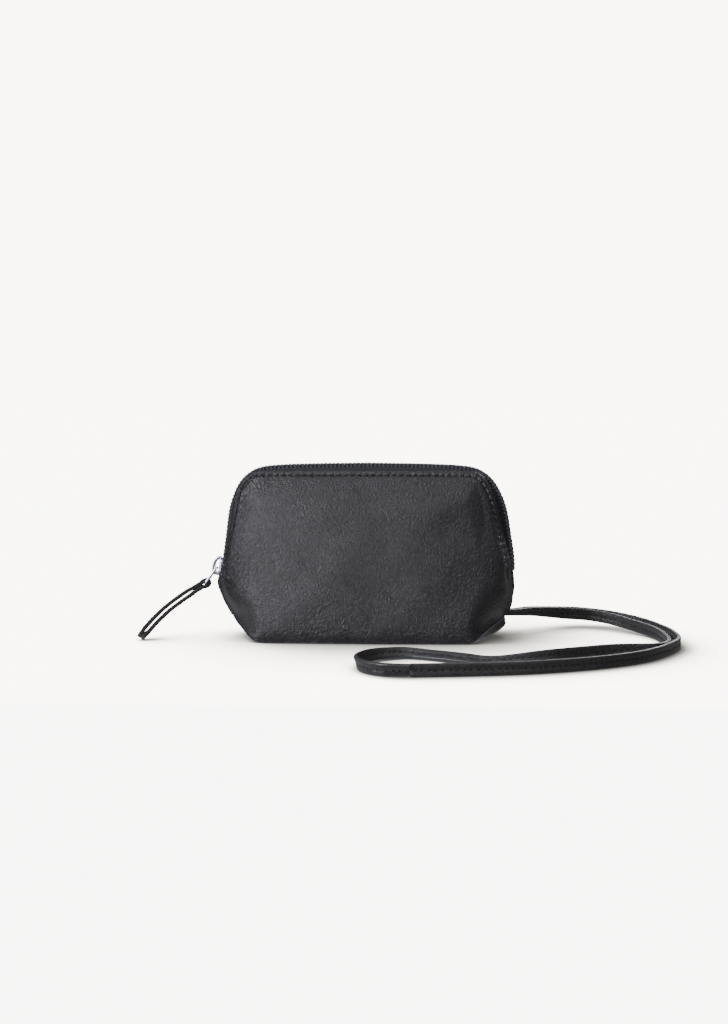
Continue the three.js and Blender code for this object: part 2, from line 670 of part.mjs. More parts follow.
function strapFrames(count) {
  const points = STRAP_PLAN.map(([x, y]) => new THREE.Vector3(x, y, 0));
  const curve = new THREE.CatmullRomCurve3(points, false, "centripetal");
  const length = curve.getLength();
  const frames = [];
  for (let i = 0; i <= count; i++) {
    const t = i / count;
    const p = curve.getPointAt(t);
    const along = curve.getTangentAt(t);
    const fromEnd = Math.min(t, 1 - t) * length;
    const down = smoothstep(0, STRAP.settle, fromEnd);
    const width = THREE.MathUtils.lerp(STRAP.endWidth, STRAP.width, down);
    const middle = THREE.MathUtils.lerp(STRAP.endZ, STRAP.width / 2 + 0.02, down);
    frames.push({ p, side: new THREE.Vector3(along.y, -along.x, 0).normalize(), width, middle });
  }
  return frames;
}

// One layer of the strap, between two distances from the middle line.
function strapLayer(from, to) {
  const rings = strapFrames(96).map(({ p, side, width, middle }) => {
    const corner = (offset, up) => {
      const c = p.clone().addScaledVector(side, offset);
      c.z = middle + up * width;
      return c;
    };
    return [corner(from, -0.5), corner(from, 0.5), corner(to, 0.5), corner(to, -0.5)];
  });
  return solidThroughRings(rings);
}

function addStrap(group) {
  const half = GAP / 2;
  group.add(meshOf("strap_outer_layer", strapLayer(-half - STRAP.layer, -half), leather));
  group.add(meshOf("strap_inner_layer", strapLayer(half, half + STRAP.layer), leather));
}

// ---------------------------------------------------------------- the bag

const bag = new THREE.Group();
addPanels(bag);
addBase(bag);
addZip(bag);
addSlider(bag);
addStrap(bag);

export default bag;
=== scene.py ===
import math

import bpy
import numpy as np
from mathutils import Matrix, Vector


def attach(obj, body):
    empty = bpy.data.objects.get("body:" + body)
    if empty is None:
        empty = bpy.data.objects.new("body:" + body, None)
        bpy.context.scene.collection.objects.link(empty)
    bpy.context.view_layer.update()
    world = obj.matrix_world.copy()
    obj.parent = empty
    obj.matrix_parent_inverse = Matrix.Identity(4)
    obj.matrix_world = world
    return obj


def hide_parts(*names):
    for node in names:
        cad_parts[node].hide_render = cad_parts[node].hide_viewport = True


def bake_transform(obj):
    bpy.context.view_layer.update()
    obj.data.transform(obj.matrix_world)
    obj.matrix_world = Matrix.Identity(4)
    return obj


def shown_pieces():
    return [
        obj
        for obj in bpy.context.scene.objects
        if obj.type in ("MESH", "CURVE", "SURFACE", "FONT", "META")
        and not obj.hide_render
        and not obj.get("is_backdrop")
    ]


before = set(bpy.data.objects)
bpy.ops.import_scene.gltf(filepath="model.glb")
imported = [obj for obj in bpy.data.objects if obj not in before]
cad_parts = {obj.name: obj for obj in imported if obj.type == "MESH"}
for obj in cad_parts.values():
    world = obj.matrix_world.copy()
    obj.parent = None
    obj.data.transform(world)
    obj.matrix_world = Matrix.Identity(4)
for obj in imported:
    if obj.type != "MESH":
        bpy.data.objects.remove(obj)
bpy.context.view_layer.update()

MM = 0.001

# ---------------------------------------- shape of the bag, in millimetres

ZIP_END_Z = 31.0  # where the end seams stop and the mouth begins
MOUTH_OPEN_Z = 38.0  # where the mouth has its full width
FOOT_X, FOOT_Z = 82.0, 13.0  # where the end seams meet the base seam
BASE_LEFT, BASE_RIGHT = 59.5, 61.8  # where the base seam starts to rise towards each end
BASE_LIFT = 0.6  # the level part of the base seam above the floor
SEAM_GAP, MOUTH_GAP = 0.7, 6.4  # a panel's edge to the middle plane, along the end seams and along the zip
FACE_DEPTH, FACE_LEAN = 34.8, 17.5  # half depth at the foot, and how much of it is lost at the top
DOME_LEFT, DOME_RIGHT = 7.6, 5.4  # how far each end of the face falls back
STITCH_INSET = 2.6  # the topstitching inside the leather's edge
ZIP_SHIFT_LEFT, ZIP_SHIFT_RIGHT = 0.7, 1.2  # the zip sits a little towards the strap end of the leather
DROOP = 0.35  # how far the leather's top edge hangs down where its corners begin
FAR = 1e9  # further away than anything here

# Right half of the leather's edge beside the zip, then of the end seam down to the base, as (x, z).
RIM = [(60, 100.6), (66, 100.3), (70.2, 98.7), (73.4, 95.9), (76.7, 90.5), (79.7, 83.3), (82.4, 73.5),
       (84.4, 62), (86.3, 50), (88.2, 40), (89.5, 31), (86.9, 22), (82, 13)]
# Right half of the outside of the zip teeth.
TEETH_LINE = [(0, 105.3), (30, 104.9), (52, 104.1), (64, 102.6), (71.6, 98.9), (77, 93.3), (80.9, 85.5),
              (83.9, 76), (85.9, 64), (87.6, 50), (88.4, 38.5), (89.0, 30)]


def lerp(a, b, t):
    return a + (b - a) * t


def smooth(a, b, x):
    t = np.clip((x - a) / (b - a), 0, 1)
    return t * t * (3 - 2 * t)


def soft_min(a, b, r):
    h = np.maximum(r - np.abs(a - b), 0) / r
    return np.minimum(a, b) - h * h * r / 4


def bell(x, centre, width):
    return np.exp(-(((x - centre) / width) ** 2))


def spline(points, steps=24):
    """A smooth line through points, as many short straight pieces."""
    p = np.array(points, float)
    p = np.vstack([2 * p[0] - p[1], p, 2 * p[-1] - p[-2]])
    out = []
    for i in range(1, len(p) - 2):
        for t in np.linspace(0, 1, steps, endpoint=False):
            a, b, c, d = p[i - 1 : i + 3]
            square, cube = 2 * a - 5 * b + 4 * c - d, 3 * b - a - 3 * c + d
            out.append(0.5 * (2 * b + (c - a) * t + square * t**2 + cube * t**3))
    return np.array([*out, p[-2]])


RIM_LINE = spline(RIM)
RIM_TOP = RIM[0][1]


def droop(x):
    """How far the leather's top edge hangs below its middle."""
    return DROOP * np.minimum(np.abs(x) / RIM[0][0], 1.2) ** 2


def resample(line, step):
    """Evenly spaced points along a line, with tangents, left-hand normals and distances."""
    s = np.r_[0, np.cumsum(np.linalg.norm(np.diff(line, axis=0), axis=1))]
    n = max(2, round(s[-1] / step))
    even = np.linspace(0, s[-1], n + 1)
    pts = np.stack([np.interp(even, s, line[:, i]) for i in range(line.shape[1])], axis=1)
    tangent = np.gradient(pts, axis=0)
    tangent /= np.linalg.norm(tangent, axis=1)[:, None]
    return pts, tangent, np.c_[-tangent[:, 1], tangent[:, 0]], even


def teeth_path(start_z, step):
    """The outside of the teeth as (x, z), left foot to right foot."""
    half = spline(TEETH_LINE)
    half = half[half[:, 1] >= start_z]
    z = half[:, 1]
    left, right = half * [-1, 1], half.copy()
    left[:, 0] += ZIP_SHIFT_LEFT * bell(z, 60, 16)
    right[:, 0] += ZIP_SHIFT_RIGHT * smooth(26, 42, z) + 0.5 * bell(z, 48, 10) - 0.6 * smooth(80, 95, z)
    return resample(np.vstack([left[::-1], right[1:]]), step)


def rim_path(inset, start_z, step):
    """A line on the front leather, `inset` inside its edge, as (x, z), left foot to right foot."""
    half = RIM_LINE[RIM_LINE[:, 1] >= start_z - 4]  # a little more than is kept, so that the end stays smooth
    across = np.linspace(0, RIM[0][0], 40, endpoint=False)
    top = np.c_[across, np.full(len(across), RIM_TOP)]
    half = np.vstack([top, half])
    tangent = np.gradient(half, axis=0)
    tangent /= np.linalg.norm(tangent, axis=1)[:, None]
    half = half + np.c_[tangent[:, 1], -tangent[:, 0]] * inset
    half = half[half[:, 1] >= start_z]
    return resample(np.vstack([half[::-1] * [-1, 1], half[1:]]), step)


def openness(z):
    """How far the mouth has opened at height z, from 0 to 1."""
    return smooth(ZIP_END_Z, MOUTH_OPEN_Z, z)


def half_length(z):
    """Half length of a panel at height z, out to its edge."""
    return np.interp(z, RIM_LINE[::-1, 1], RIM_LINE[::-1, 0])


def inside_edge(x, z):
    """How far a panel point lies inside the panel's edge."""
    top = RIM_TOP - z
    line = RIM_LINE[::3]  # coarse enough to be quick
    ax = np.abs(x).ravel()
    near = np.full(ax.shape, FAR)
    for (x0, z0), (x1, z1) in zip(line[:-1], line[1:]):
        dx, dz = x1 - x0, z1 - z0
        t = np.clip(((ax - x0) * dx + (z.ravel() - z0) * dz) / (dx * dx + dz * dz), 0, 1)
        near = np.minimum(near, np.hypot(ax - x0 - t * dx, z.ravel() - z0 - t * dz))
    near = near.reshape(np.shape(x))
    return np.minimum(near, np.where(np.abs(x) < RIM[0][0], top, FAR)).clip(0)


def steepness(x, z):
    """How fast a panel turns outwards from its edge: slowly at the top, fast at the ends."""
    angle = np.arctan2(z - 30, np.abs(x) - 20)
    side = 2.5 - 0.8 * smooth(45, 85, z) - 0.95 * (1 - smooth(8, 36, z))
    return lerp(side, 0.8, smooth(0.35, 1.2, angle))


def end_shift(x, z):
    """Sideways offset of the leather's ends: both tuck in beside the zip, the right one fills out lower down."""
    beside_zip = smooth(44, 72, z) * (1 - 0.75 * smooth(96, 106, z))
    right = (3.0 * bell(z, 16, 8) - 2.3 * beside_zip - 1.7 * bell(z, 37, 6)) * smooth(30, 86, x)
    left = (1.1 * beside_zip * (1 - 0.8 * smooth(76, 92, z)) - 1.1 * bell(z, 90, 9)) * smooth(30, 86, -x)
    return right + left


def base_seam_z(x):
    """Height of the seam between the panels and the base."""
    corner = np.where(x < 0, BASE_LEFT, BASE_RIGHT)
    t = np.clip((np.abs(x) - corner) / (FOOT_X - corner), 0, 1)
    return BASE_LIFT + (FOOT_Z - BASE_LIFT) * t ** np.where(x < 0, 1.4, 0.9)


def dome(x, z):
    """How far the face falls back towards its ends."""
    end = np.abs(x) / 65
    end = end / (1 + (end / 1.12) ** 8) ** 0.125
    fall = np.where(x < 0, DOME_LEFT, DOME_RIGHT) * end**2.9
    return fall * (0.3 + 0.7 * smooth(0, 40, z))


def panel_depth(x, z):
    """Distance of a panel's surface from the middle plane."""
    inside = inside_edge(x, z)
    rise = np.clip(z / RIM_TOP, 0, 1)
    face = FACE_DEPTH - FACE_LEAN * rise**1.6 - dome(x, z)
    tuck = 1.6 * (1 - np.clip(z / 7, 0, 1)) ** 2  # the foot turns in under the bag
    gap = SEAM_GAP + (MOUTH_GAP - SEAM_GAP) * openness(z)
    slope = steepness(x, z)
    side = gap + slope * inside + 0.008 * inside**2
    blend = np.minimum((4 + 9 * smooth(0, 34, z)) * slope, 3 + 1.6 * inside)
    return soft_min(face - tuck, side, blend)


# ---------------------------------------- mesh helpers


def new_piece(name, verts, faces, material, body="bag", smooth_shade=True, slot=None):
    """An object from points in millimetres, riding on a body."""
    mesh = bpy.data.meshes.new(name)
    points = [tuple(float(c) * MM for c in v) for v in verts]
    mesh.from_pydata(points, [], [tuple(map(int, f)) for f in faces])
    mesh.validate()
    mesh.update()
    obj = bpy.data.objects.new(name, mesh)
    bpy.context.scene.collection.objects.link(obj)
    mesh.materials.append(material)
    mesh.polygons.foreach_set("use_smooth", [smooth_shade] * len(mesh.polygons))
    if body:
        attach(obj, body)
    return obj


def dress(node, material):
    """Give a CAD node its material."""
    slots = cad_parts[node].data.materials
    slots.clear()
    slots.append(material)


def grid_faces(rows, cols, start=0, flip=False):
    i, j = np.meshgrid(np.arange(rows - 1), np.arange(cols - 1), indexing="ij")
    a = start + i * cols + j
    quads = np.stack([a, a + 1, a + cols + 1, a + cols], axis=-1).reshape(-1, 4)
    return quads[:, ::-1] if flip else quads


def grid_normals(p):
    normal = np.cross(np.gradient(p, axis=1), np.gradient(p, axis=0))
    normal = normal / np.maximum(np.linalg.norm(normal, axis=-1, keepdims=True), 1e-9)
    ends = ((slice(None, 4), 4), (slice(-4, None), -5))  # the grid's corners lie on smooth edges
    for rows, i in ends:
        for cols, j in ends:
            normal[rows, cols] = normal[i, j]
    return normal


def boundary(rows, cols):
    """Grid indices round the edge of a grid, as one closed run."""
    top = [(rows - 1, j) for j in range(cols)]
    right = [(i, cols - 1) for i in range(rows - 2, -1, -1)]
    bottom = [(0, j) for j in range(cols - 2, -1, -1)]
    left = [(i, 0) for i in range(1, rows - 1)]
    return top + right + bottom + left


def rolled_sheet(p, radius, tail):
    """A sheet of leather: grid p, its edge rolled over by `radius` and a tail running back inside."""
    rows, cols, _ = p.shape
    normals = grid_normals(p)
    loop = boundary(rows, cols)
    edge = np.array([p[i, j] for i, j in loop])
    n = np.array([normals[i, j] for i, j in loop])
    t = np.roll(edge, -1, axis=0) - np.roll(edge, 1, axis=0)
    t /= np.linalg.norm(t, axis=1, keepdims=True)
    out = np.cross(t, n)
    out /= np.linalg.norm(out, axis=1, keepdims=True)
    if ((edge - p.reshape(-1, 3).mean(axis=0)) * out).sum() < 0:
        out = -out
    rings = []
    for a in np.linspace(0, math.pi, 7)[1:]:
        rings.append(edge - n * radius * (1 - math.cos(a)) + out * radius * math.sin(a))
    rings.append(rings[-1] - out * tail)
    verts = [*p.reshape(-1, 3)]
    faces = [*grid_faces(rows, cols)]
    previous = [i * cols + j for i, j in loop]
    for ring in rings:
        current = list(range(len(verts), len(verts) + len(loop)))
        verts.extend(ring)
        for k in range(len(loop)):
            m = (k + 1) % len(loop)
            faces.append((previous[m], previous[k], current[k], current[m]))
        previous = current
    return verts, faces


def tube_rings(rings, closed_ends=True):
    """Faces through rings of equal length; ring points run round the section."""
    count, n, _ = rings.shape
    faces = []
    for i in range(count - 1):
        for j in range(n):
            m = (j + 1) % n
            faces.append((i * n + j, i * n + m, (i + 1) * n + m, (i + 1) * n + j))
    if closed_ends:
        faces.append(tuple(range(n))[::-1])
        faces.append(tuple((count - 1) * n + j for j in range(n)))
    return rings.reshape(-1, 3), faces


def mirror_y(verts, faces):
    return np.asarray(verts) * [1, -1, 1], [tuple(f)[::-1] for f in faces]


class Batch:
    """Many small solids gathered into one mesh."""

    def __init__(self):
        self.verts = []
        self.faces = []

    def add(self, verts, faces):
        start = len(self.verts)
        self.verts.extend(np.asarray(verts))
        self.faces.extend(tuple(start + k for k in f) for f in faces)


# ---------------------------------------- materials


def node_material(name):
    material = bpy.data.materials.new(name)
    material.use_nodes = True
    tree = material.node_tree
    return material, tree, tree.nodes["Principled BSDF"]


def link(tree, a, a_out, b, b_in):
    tree.links.new(a.outputs[a_out], b.inputs[b_in])


def add_node(tree, kind, **values):
    node = tree.nodes.new(kind)
    for key, value in values.items():
        if key in node.inputs:
            node.inputs[key].default_value = value
        else:
            setattr(node, key, value)
    return node


def map_range(tree, source, output, values, **settings):
    """A Map Range node on one output; values are its named ends."""
    node = add_node(tree, "ShaderNodeMapRange", **values, **settings)
    link(tree, source, output, node, "Value")
    return node


def shades(colour, dark, light):
    """Two stops of a colour, at the given shares of its brightness."""
    return [tuple(min(c * k, 1) for c in colour) for k in (dark, light)]


def ramp(tree, stops):
    """A colour ramp from (position, grey or colour) stops."""
    stops = list(stops)
    node = tree.nodes.new("ShaderNodeValToRGB")
    elements = node.color_ramp.elements
    while len(elements) < len(stops):
        elements.new(0.5)
    for element, (pos, value) in zip(elements, stops):
        element.position = pos
        element.color = (*value, 1) if isinstance(value, tuple) else (value, value, value, 1)
    return node


# Painted shade: where the leather is painted darker and duller, towards the pull's end of the bag and where it
# turns under its foot:
# axis, start and end of the change in metres, and what is left of its shine and colour.
SHADED_ENDS = (("X", -0.088, -0.066, 0.45), ("Z", 0.0, 0.016, 0.75))


def end_shade(tree, coords):
    """Painted shade: a value that falls towards the pull's end of the bag and where the leather turns under its
    foot, to darken its colour and dull its shine there.
    """
    split = add_node(tree, "ShaderNodeSeparateXYZ")
    link(tree, coords, "Object", split, "Vector")
    fades = []
    for axis, start, stop, low in SHADED_ENDS:
        ends = {"From Min": start, "From Max": stop, "To Min": low}
        fades.append(map_range(tree, split, axis, ends, interpolation_type="SMOOTHSTEP"))
    both = add_node(tree, "ShaderNodeMath", operation="MULTIPLY")
    for slot, fade in enumerate(fades):
        link(tree, fade, "Result", both, slot)
    return both


GRAIN_HEIGHT = 0.00042  # metres
CLOTH_HEIGHT = 0.0003
THREAD_HEIGHT = 0.0002
# Painted highlight: the topstitching is painted paler towards the strap's end, where the thread catches the light.
HIGHLIGHT_FROM, HIGHLIGHT_TO = 0.062, 0.07  # where the topstitching turns pale towards the strap's end, metres


def leather_material(name, colour, cell=900.0, grain=0.5, roughness=0.5, specular=0.5, shade_ends=False):
    """Pebbled leather: rounded cells between fine creases, on a softly mottled colour. Painted shade darkens the
    creases, and can darken and dull the ends of the bag.
    """
    material, tree, shader = node_material(name)
    coords = add_node(tree, "ShaderNodeTexCoord")
    # Small shifts of the coordinates make the cells irregular.
    warp = add_node(tree, "ShaderNodeTexNoise", Scale=380.0, Detail=2.0)
    link(tree, coords, "Object", warp, "Vector")
    mix = add_node(tree, "ShaderNodeMixRGB", blend_type="LINEAR_LIGHT", Fac=0.0007)
    link(tree, coords, "Object", mix, "Color1")
    link(tree, warp, "Color", mix, "Color2")
    cells = add_node(tree, "ShaderNodeTexVoronoi", feature="F1", Scale=cell)
    link(tree, mix, "Color", cells, "Vector")
    fine = add_node(tree, "ShaderNodeTexVoronoi", feature="F1", Scale=cell * 1.9)
    link(tree, mix, "Color", fine, "Vector")
    rough_spots = add_node(tree, "ShaderNodeTexNoise", Scale=60.0, Detail=4.0)
    link(tree, coords, "Object", rough_spots, "Vector")
    pebble = ramp(tree, [(0.0, 1.0), (0.25, 0.86), (0.5, 0.45), (0.75, 0.0)])
    link(tree, cells, "Distance", pebble, "Fac")
    small = ramp(tree, [(0.0, 1.0), (0.35, 0.75), (0.7, 0.0)])
    link(tree, fine, "Distance", small, "Fac")
    height = add_node(tree, "ShaderNodeMixRGB", blend_type="MIX", Fac=0.3)
    link(tree, pebble, "Color", height, "Color1")
    link(tree, small, "Color", height, "Color2")
    bump = add_node(tree, "ShaderNodeBump", Strength=grain, Distance=GRAIN_HEIGHT)
    link(tree, height, "Color", bump, "Height")
    link(tree, bump, "Normal", shader, "Normal")
    tone = ramp(tree, zip((0.3, 0.7), shades(colour, 0.8, 1.2)))
    link(tree, rough_spots, "Fac", tone, "Fac")
    # Painted shade: the colour is darkened in the creases between the cells, following the same heights as the
    # bump.
    crease_shade = add_node(tree, "ShaderNodeMixRGB", blend_type="MULTIPLY", Fac=0.5)
    link(tree, tone, "Color", crease_shade, "Color1")
    link(tree, pebble, "Color", crease_shade, "Color2")
    link(tree, crease_shade, "Color", shader, "Base Color")
    # Painted shade: the colour is darkened and the shine dulled towards the pull's end and where the leather turns
    # under its foot.
    if shade_ends:
        ends = end_shade(tree, coords)
        shine = add_node(tree, "ShaderNodeMath", operation="MULTIPLY")
        shine.inputs[0].default_value = specular
        link(tree, ends, "Value", shine, 1)
        link(tree, shine, "Value", shader, "Specular IOR Level")
        shaded_base_colour = add_node(tree, "ShaderNodeMixRGB", blend_type="MULTIPLY", Fac=1.0)
        link(tree, crease_shade, "Color", shaded_base_colour, "Color1")
        link(tree, ends, "Value", shaded_base_colour, "Color2")
        link(tree, shaded_base_colour, "Color", shader, "Base Color")
    rough = map_range(tree, rough_spots, "Fac", {"To Min": roughness - 0.06, "To Max": roughness + 0.08})
    link(tree, rough, "Result", shader, "Roughness")
    shader.inputs["Specular IOR Level"].default_value = specular
    return material


def diagonal_bands(tree, **values):
    return add_node(tree, "ShaderNodeTexWave", wave_type="BANDS", bands_direction="DIAGONAL", **values)


def woven_material(name, colour, scale=2600.0, roughness=0.85):
    """Plain cloth: diagonal bands broken up by fine grain."""
    material, tree, shader = node_material(name)
    coords = add_node(tree, "ShaderNodeTexCoord")
    weave = diagonal_bands(tree, Scale=scale / 10, Distortion=1.5)
    link(tree, coords, "Object", weave, "Vector")
    grain = add_node(tree, "ShaderNodeTexNoise", Scale=scale, Detail=2.0)
    link(tree, coords, "Object", grain, "Vector")
    both = add_node(tree, "ShaderNodeMixRGB", blend_type="MIX", Fac=0.5)
    link(tree, weave, "Color", both, "Color1")
    link(tree, grain, "Fac", both, "Color2")
    bump = add_node(tree, "ShaderNodeBump", Strength=0.6, Distance=CLOTH_HEIGHT)
    link(tree, both, "Color", bump, "Height")
    link(tree, bump, "Normal", shader, "Normal")
    tone = ramp(tree, zip((0.2, 0.8), shades(colour, 0.6, 1.4)))
    link(tree, both, "Color", tone, "Fac")
    link(tree, tone, "Color", shader, "Base Color")
    shader.inputs["Roughness"].default_value = roughness
    return material


def metal_material(name, colour, roughness=0.2, wear=0.08):
    """Metal with fine unevenness in its polish; wear is how far the roughness varies."""
    material, tree, shader = node_material(name)
    coords = add_node(tree, "ShaderNodeTexCoord")
    noise = add_node(tree, "ShaderNodeTexNoise", Scale=900.0, Detail=3.0)
    link(tree, coords, "Object", noise, "Vector")
    rough = map_range(tree, noise, "Fac", {"To Min": roughness - wear, "To Max": roughness + wear})
    link(tree, rough, "Result", shader, "Roughness")
    tone = ramp(tree, zip((0.3, 0.7), shades(colour, 0.9, 1.08)))
    link(tree, noise, "Fac", tone, "Fac")
    link(tree, tone, "Color", shader, "Base Color")
    shader.inputs["Metallic"].default_value = 1.0
    return material


def thread_material(name, colour, highlight_colour=None):
    """Twisted thread, which can change to a paler colour towards the strap's end of the bag: a painted highlight,
    where the thread catches the light.
    """
    material, tree, shader = node_material(name)
    coords = add_node(tree, "ShaderNodeTexCoord")
    twist = diagonal_bands(tree, Scale=420.0)
    link(tree, coords, "Object", twist, "Vector")
    bump = add_node(tree, "ShaderNodeBump", Strength=0.5, Distance=THREAD_HEIGHT)
    link(tree, twist, "Fac", bump, "Height")
    link(tree, bump, "Normal", shader, "Normal")
    tone = ramp(tree, zip((0.2, 0.8), shades(colour, 0.6, 1)))
    link(tree, twist, "Fac", tone, "Fac")
    link(tree, tone, "Color", shader, "Base Color")
    # Painted highlight: the thread turns paler towards the strap's end, where it catches the light.
    if highlight_colour:
        split = add_node(tree, "ShaderNodeSeparateXYZ")
        link(tree, coords, "Object", split, "Vector")
        end = map_range(tree, split, "X", {"From Min": HIGHLIGHT_FROM, "From Max": HIGHLIGHT_TO})
        mixed = add_node(tree, "ShaderNodeMixRGB", blend_type="MIX")
        link(tree, end, "Result", mixed, "Fac")
        link(tree, tone, "Color", mixed, "Color1")
        mixed.inputs["Color2"].default_value = (*highlight_colour, 1)
        link(tree, mixed, "Color", shader, "Base Color")
    shader.inputs["Roughness"].default_value = 0.55
    return material


LEATHER = leather_material(
    "pebbled_leather", (0.0172, 0.0169, 0.0196), cell=760, grain=1.0, roughness=0.43, shade_ends=True
)
STRAP_LEATHER = leather_material("strap_leather", (0.024, 0.024, 0.025), cell=900, grain=0.5, roughness=0.4)
EDGE = leather_material("painted_edge", (0.045, 0.045, 0.05), cell=1500, grain=0.2, roughness=0.36)
TRIM = leather_material("trim_leather", (0.016, 0.016, 0.0165), cell=1100, grain=0.45, roughness=0.42)
BASE = leather_material("base_leather", (0.018, 0.018, 0.019), cell=560, grain=0.8, roughness=0.45)
CLOTH = woven_material("lining_cloth", (0.05, 0.045, 0.04))
TAPE = woven_material("zip_tape", (0.008, 0.009, 0.013))
TEETH = metal_material("zip_teeth", (0.16, 0.163, 0.185), roughness=0.36, wear=0.1)
NICKEL = metal_material("nickel", (0.6, 0.62, 0.7), roughness=0.24)
THREAD = thread_material("thread", (0.004, 0.004, 0.0045))
TOP_THREAD = thread_material("top_thread", (0.005, 0.005, 0.0055), highlight_colour=(0.11, 0.11, 0.115))
BOARD = woven_material("board", (0.22, 0.17, 0.12), scale=900.0)

# ---------------------------------------- leather panels

ROWS, COLS = 150, 240  # points in a panel's grid, up and across
STITCH_START_Z = MOUTH_OPEN_Z + 4  # the topstitching begins a little above the ends of the mouth
STITCH_PATH = rim_path(STITCH_INSET, STITCH_START_Z, 0.4)
STITCH_PITCH = 4.15


def stitch_phase(x, z):
    """Distance along the mouth for points near the topstitch line."""
    xz, _, _, s = STITCH_PATH
    d = (x[..., None] - xz[:, 0]) ** 2 + (z[..., None] - xz[:, 1]) ** 2
    return s[np.argmin(d, axis=-1)]


def leather_relief(x, z):
    """Small surface relief of a front panel, outwards positive: seams, puffing and gentle unevenness."""
    # Each feature is a height in millimetres times a bell round its place.
    inside = inside_edge(x, z)
    open_part = openness(z)
    groove = -0.55 * bell(inside, STITCH_INSET, 0.8) * open_part
    lip = 0.2 * bell(inside, 1.1, 0.8) * open_part
    puff = 0.45 * bell(inside, 6.0, 2.6)
    seam = -0.3 * bell(inside, 0.0, 1.2) * (1 - open_part)
    near = (np.abs(inside - STITCH_INSET) < 2.2) & (z > MOUTH_OPEN_Z + 2)
    pinch = np.zeros_like(x)
    if near.any():
        phase = stitch_phase(x[near], z[near]) / STITCH_PITCH * 2 * math.pi
        pinch[near] = -0.34 * np.cos(phase) * bell(inside[near], STITCH_INSET, 1.1)
    dent = -0.8 * bell(x, 10, 15) * smooth(8, 40, z) * (1 - smooth(74, 97, z))
    hollow = -0.7 * bell(x, -34, 26) * bell(z, 62, 22)
    wave = 0.2 * np.sin(x * 0.09 + 0.7) * np.sin(z * 0.11 + 1.1) + 0.1 * np.sin(x * 0.19 - z * 0.17)
    return groove + lip + puff + seam + pinch + dent + hollow + wave * smooth(2, 14, inside)


def even_heights(count):
    """Row heights, evenly spaced along the panel's side edge."""
    z = np.linspace(FOOT_Z, RIM_TOP, 3000)
    x = half_length(z)
    s = np.r_[0, np.cumsum(np.hypot(np.diff(x), np.diff(z)))]
    return np.interp(np.linspace(0, s[-1], count), s, z)


def crowded(count, spread):
    """Numbers from -1 to 1, closer together towards both ends."""
    return np.sin(np.linspace(-0.5, 0.5, count) * spread) / math.sin(spread / 2)


def panel_grid():
    """The front leather's outer surface as a grid of points, from the end seams' feet up to the mouth."""
    u, z = np.meshgrid(crowded(COLS, 0.82 * math.pi), even_heights(ROWS))
    x = u * half_length(z)
    settle = 1 - smooth(FOOT_Z, ZIP_END_Z + 8, z)
    height = z - (FOOT_Z - base_seam_z(x)) * settle
    p = np.stack([x, -panel_depth(x, height), height], axis=-1)
    p = p + grid_normals(p) * leather_relief(x, height)[..., None]
    p[..., 2] -= droop(x) * smooth(60, RIM_TOP, height)
    p[..., 0] += end_shift(x, height)
    return p


FRONT = panel_grid()
verts, faces = rolled_sheet(FRONT, radius=0.75, tail=5.0)
front_panel = new_piece("leather_front", verts, faces, LEATHER, slot="body_leather")
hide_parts("front_panel")
back_panel = new_piece("leather_back", *mirror_y(verts, faces), LEATHER, slot="body_leather")
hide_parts("back_panel")

# The base under the strap's end: its middle line leaves the floor at a point and rises, and it bulges out.
BASE_RISE_X, BASE_RISE = 69.0, 8.8
BASE_BULGE_X, BASE_BULGE = 66.0, 2.6


def base_grid(inset, lift, steps=90, across=40):
    """The base as a grid of points, `inset` inside the panels and `lift` above where they put it."""
    end = FOOT_X - inset * 0.5
    x, v = np.meshgrid(end * crowded(steps, 0.96 * math.pi), np.linspace(-1, 1, across), indexing="ij")
    seam = base_seam_z(x)
    edge = seam - BASE_LIFT
    half = np.maximum(panel_depth(x, seam) - inset, 0.3)
    right = BASE_RISE * np.clip((x - BASE_RISE_X) / (FOOT_X - BASE_RISE_X), 0, 1) ** 1.4
    middle = np.minimum(np.where(x < 0, edge - 0.3, right).clip(0), edge)
    z = lerp(middle, edge, np.abs(v) ** np.where(x < 0, 2.5, 7.0))
    reach = np.clip((x - BASE_BULGE_X) / (FOOT_X - BASE_BULGE_X), 0, 1) ** 2
    bulge = BASE_BULGE * np.sin(math.pi * reach) * (1 - v**2) + end_shift(x, seam)
    return np.stack([x + bulge, v * half, z + lift], axis=-1)


base = base_grid(inset=1.2, lift=0.1)
base_panel = new_piece("leather_base", *rolled_sheet(base, radius=0.5, tail=2.0), BASE, slot="trim_leather")
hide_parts("base_panel")

LINING_INSET, LINING_THICK = 2.3, 0.5


def lining_sheet(grid, inset):
    """A cloth sheet just inside a leather grid."""
    normal = grid_normals(grid)
    outer, inner = grid - normal * inset, grid - normal * (inset + LINING_THICK)
    rows, cols, _ = grid.shape
    verts = np.vstack([outer.reshape(-1, 3), inner.reshape(-1, 3)])
    faces = [*grid_faces(rows, cols), *grid_faces(rows, cols, rows * cols, flip=True)]
    loop = [i * cols + j for i, j in boundary(rows, cols)]
    for a, b in zip(loop, loop[1:] + loop[:1]):
        faces.append((a, b, rows * cols + b, rows * cols + a)[::-1])
    return verts, faces


front_lining = lining_sheet(FRONT[6:-8:3, 9:-9:4], LINING_INSET)  # every few points, clear of the edges
floor_cloth = base_grid(inset=5.5, lift=3.6, steps=40, across=14)
floor_cloth[..., 2] += 0.25 * np.sin(floor_cloth[..., 0] * 0.21) * np.cos(floor_cloth[..., 1] * 0.17)
linings = {"front": front_lining, "back": mirror_y(*front_lining), "base": lining_sheet(floor_cloth, 0)}
for label, sheet in linings.items():
    lining = new_piece(f"lining_{label}", *sheet, CLOTH, slot="lining_cloth")
    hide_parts(f"{label}_lining")
dress("base_board", BOARD)

# ---------------------------------------- topstitching

STITCH_FLAT = 0.75  # a stitch's height over its width
STITCH_SINK = 0.22  # how far the ends of a stitch dip into the leather


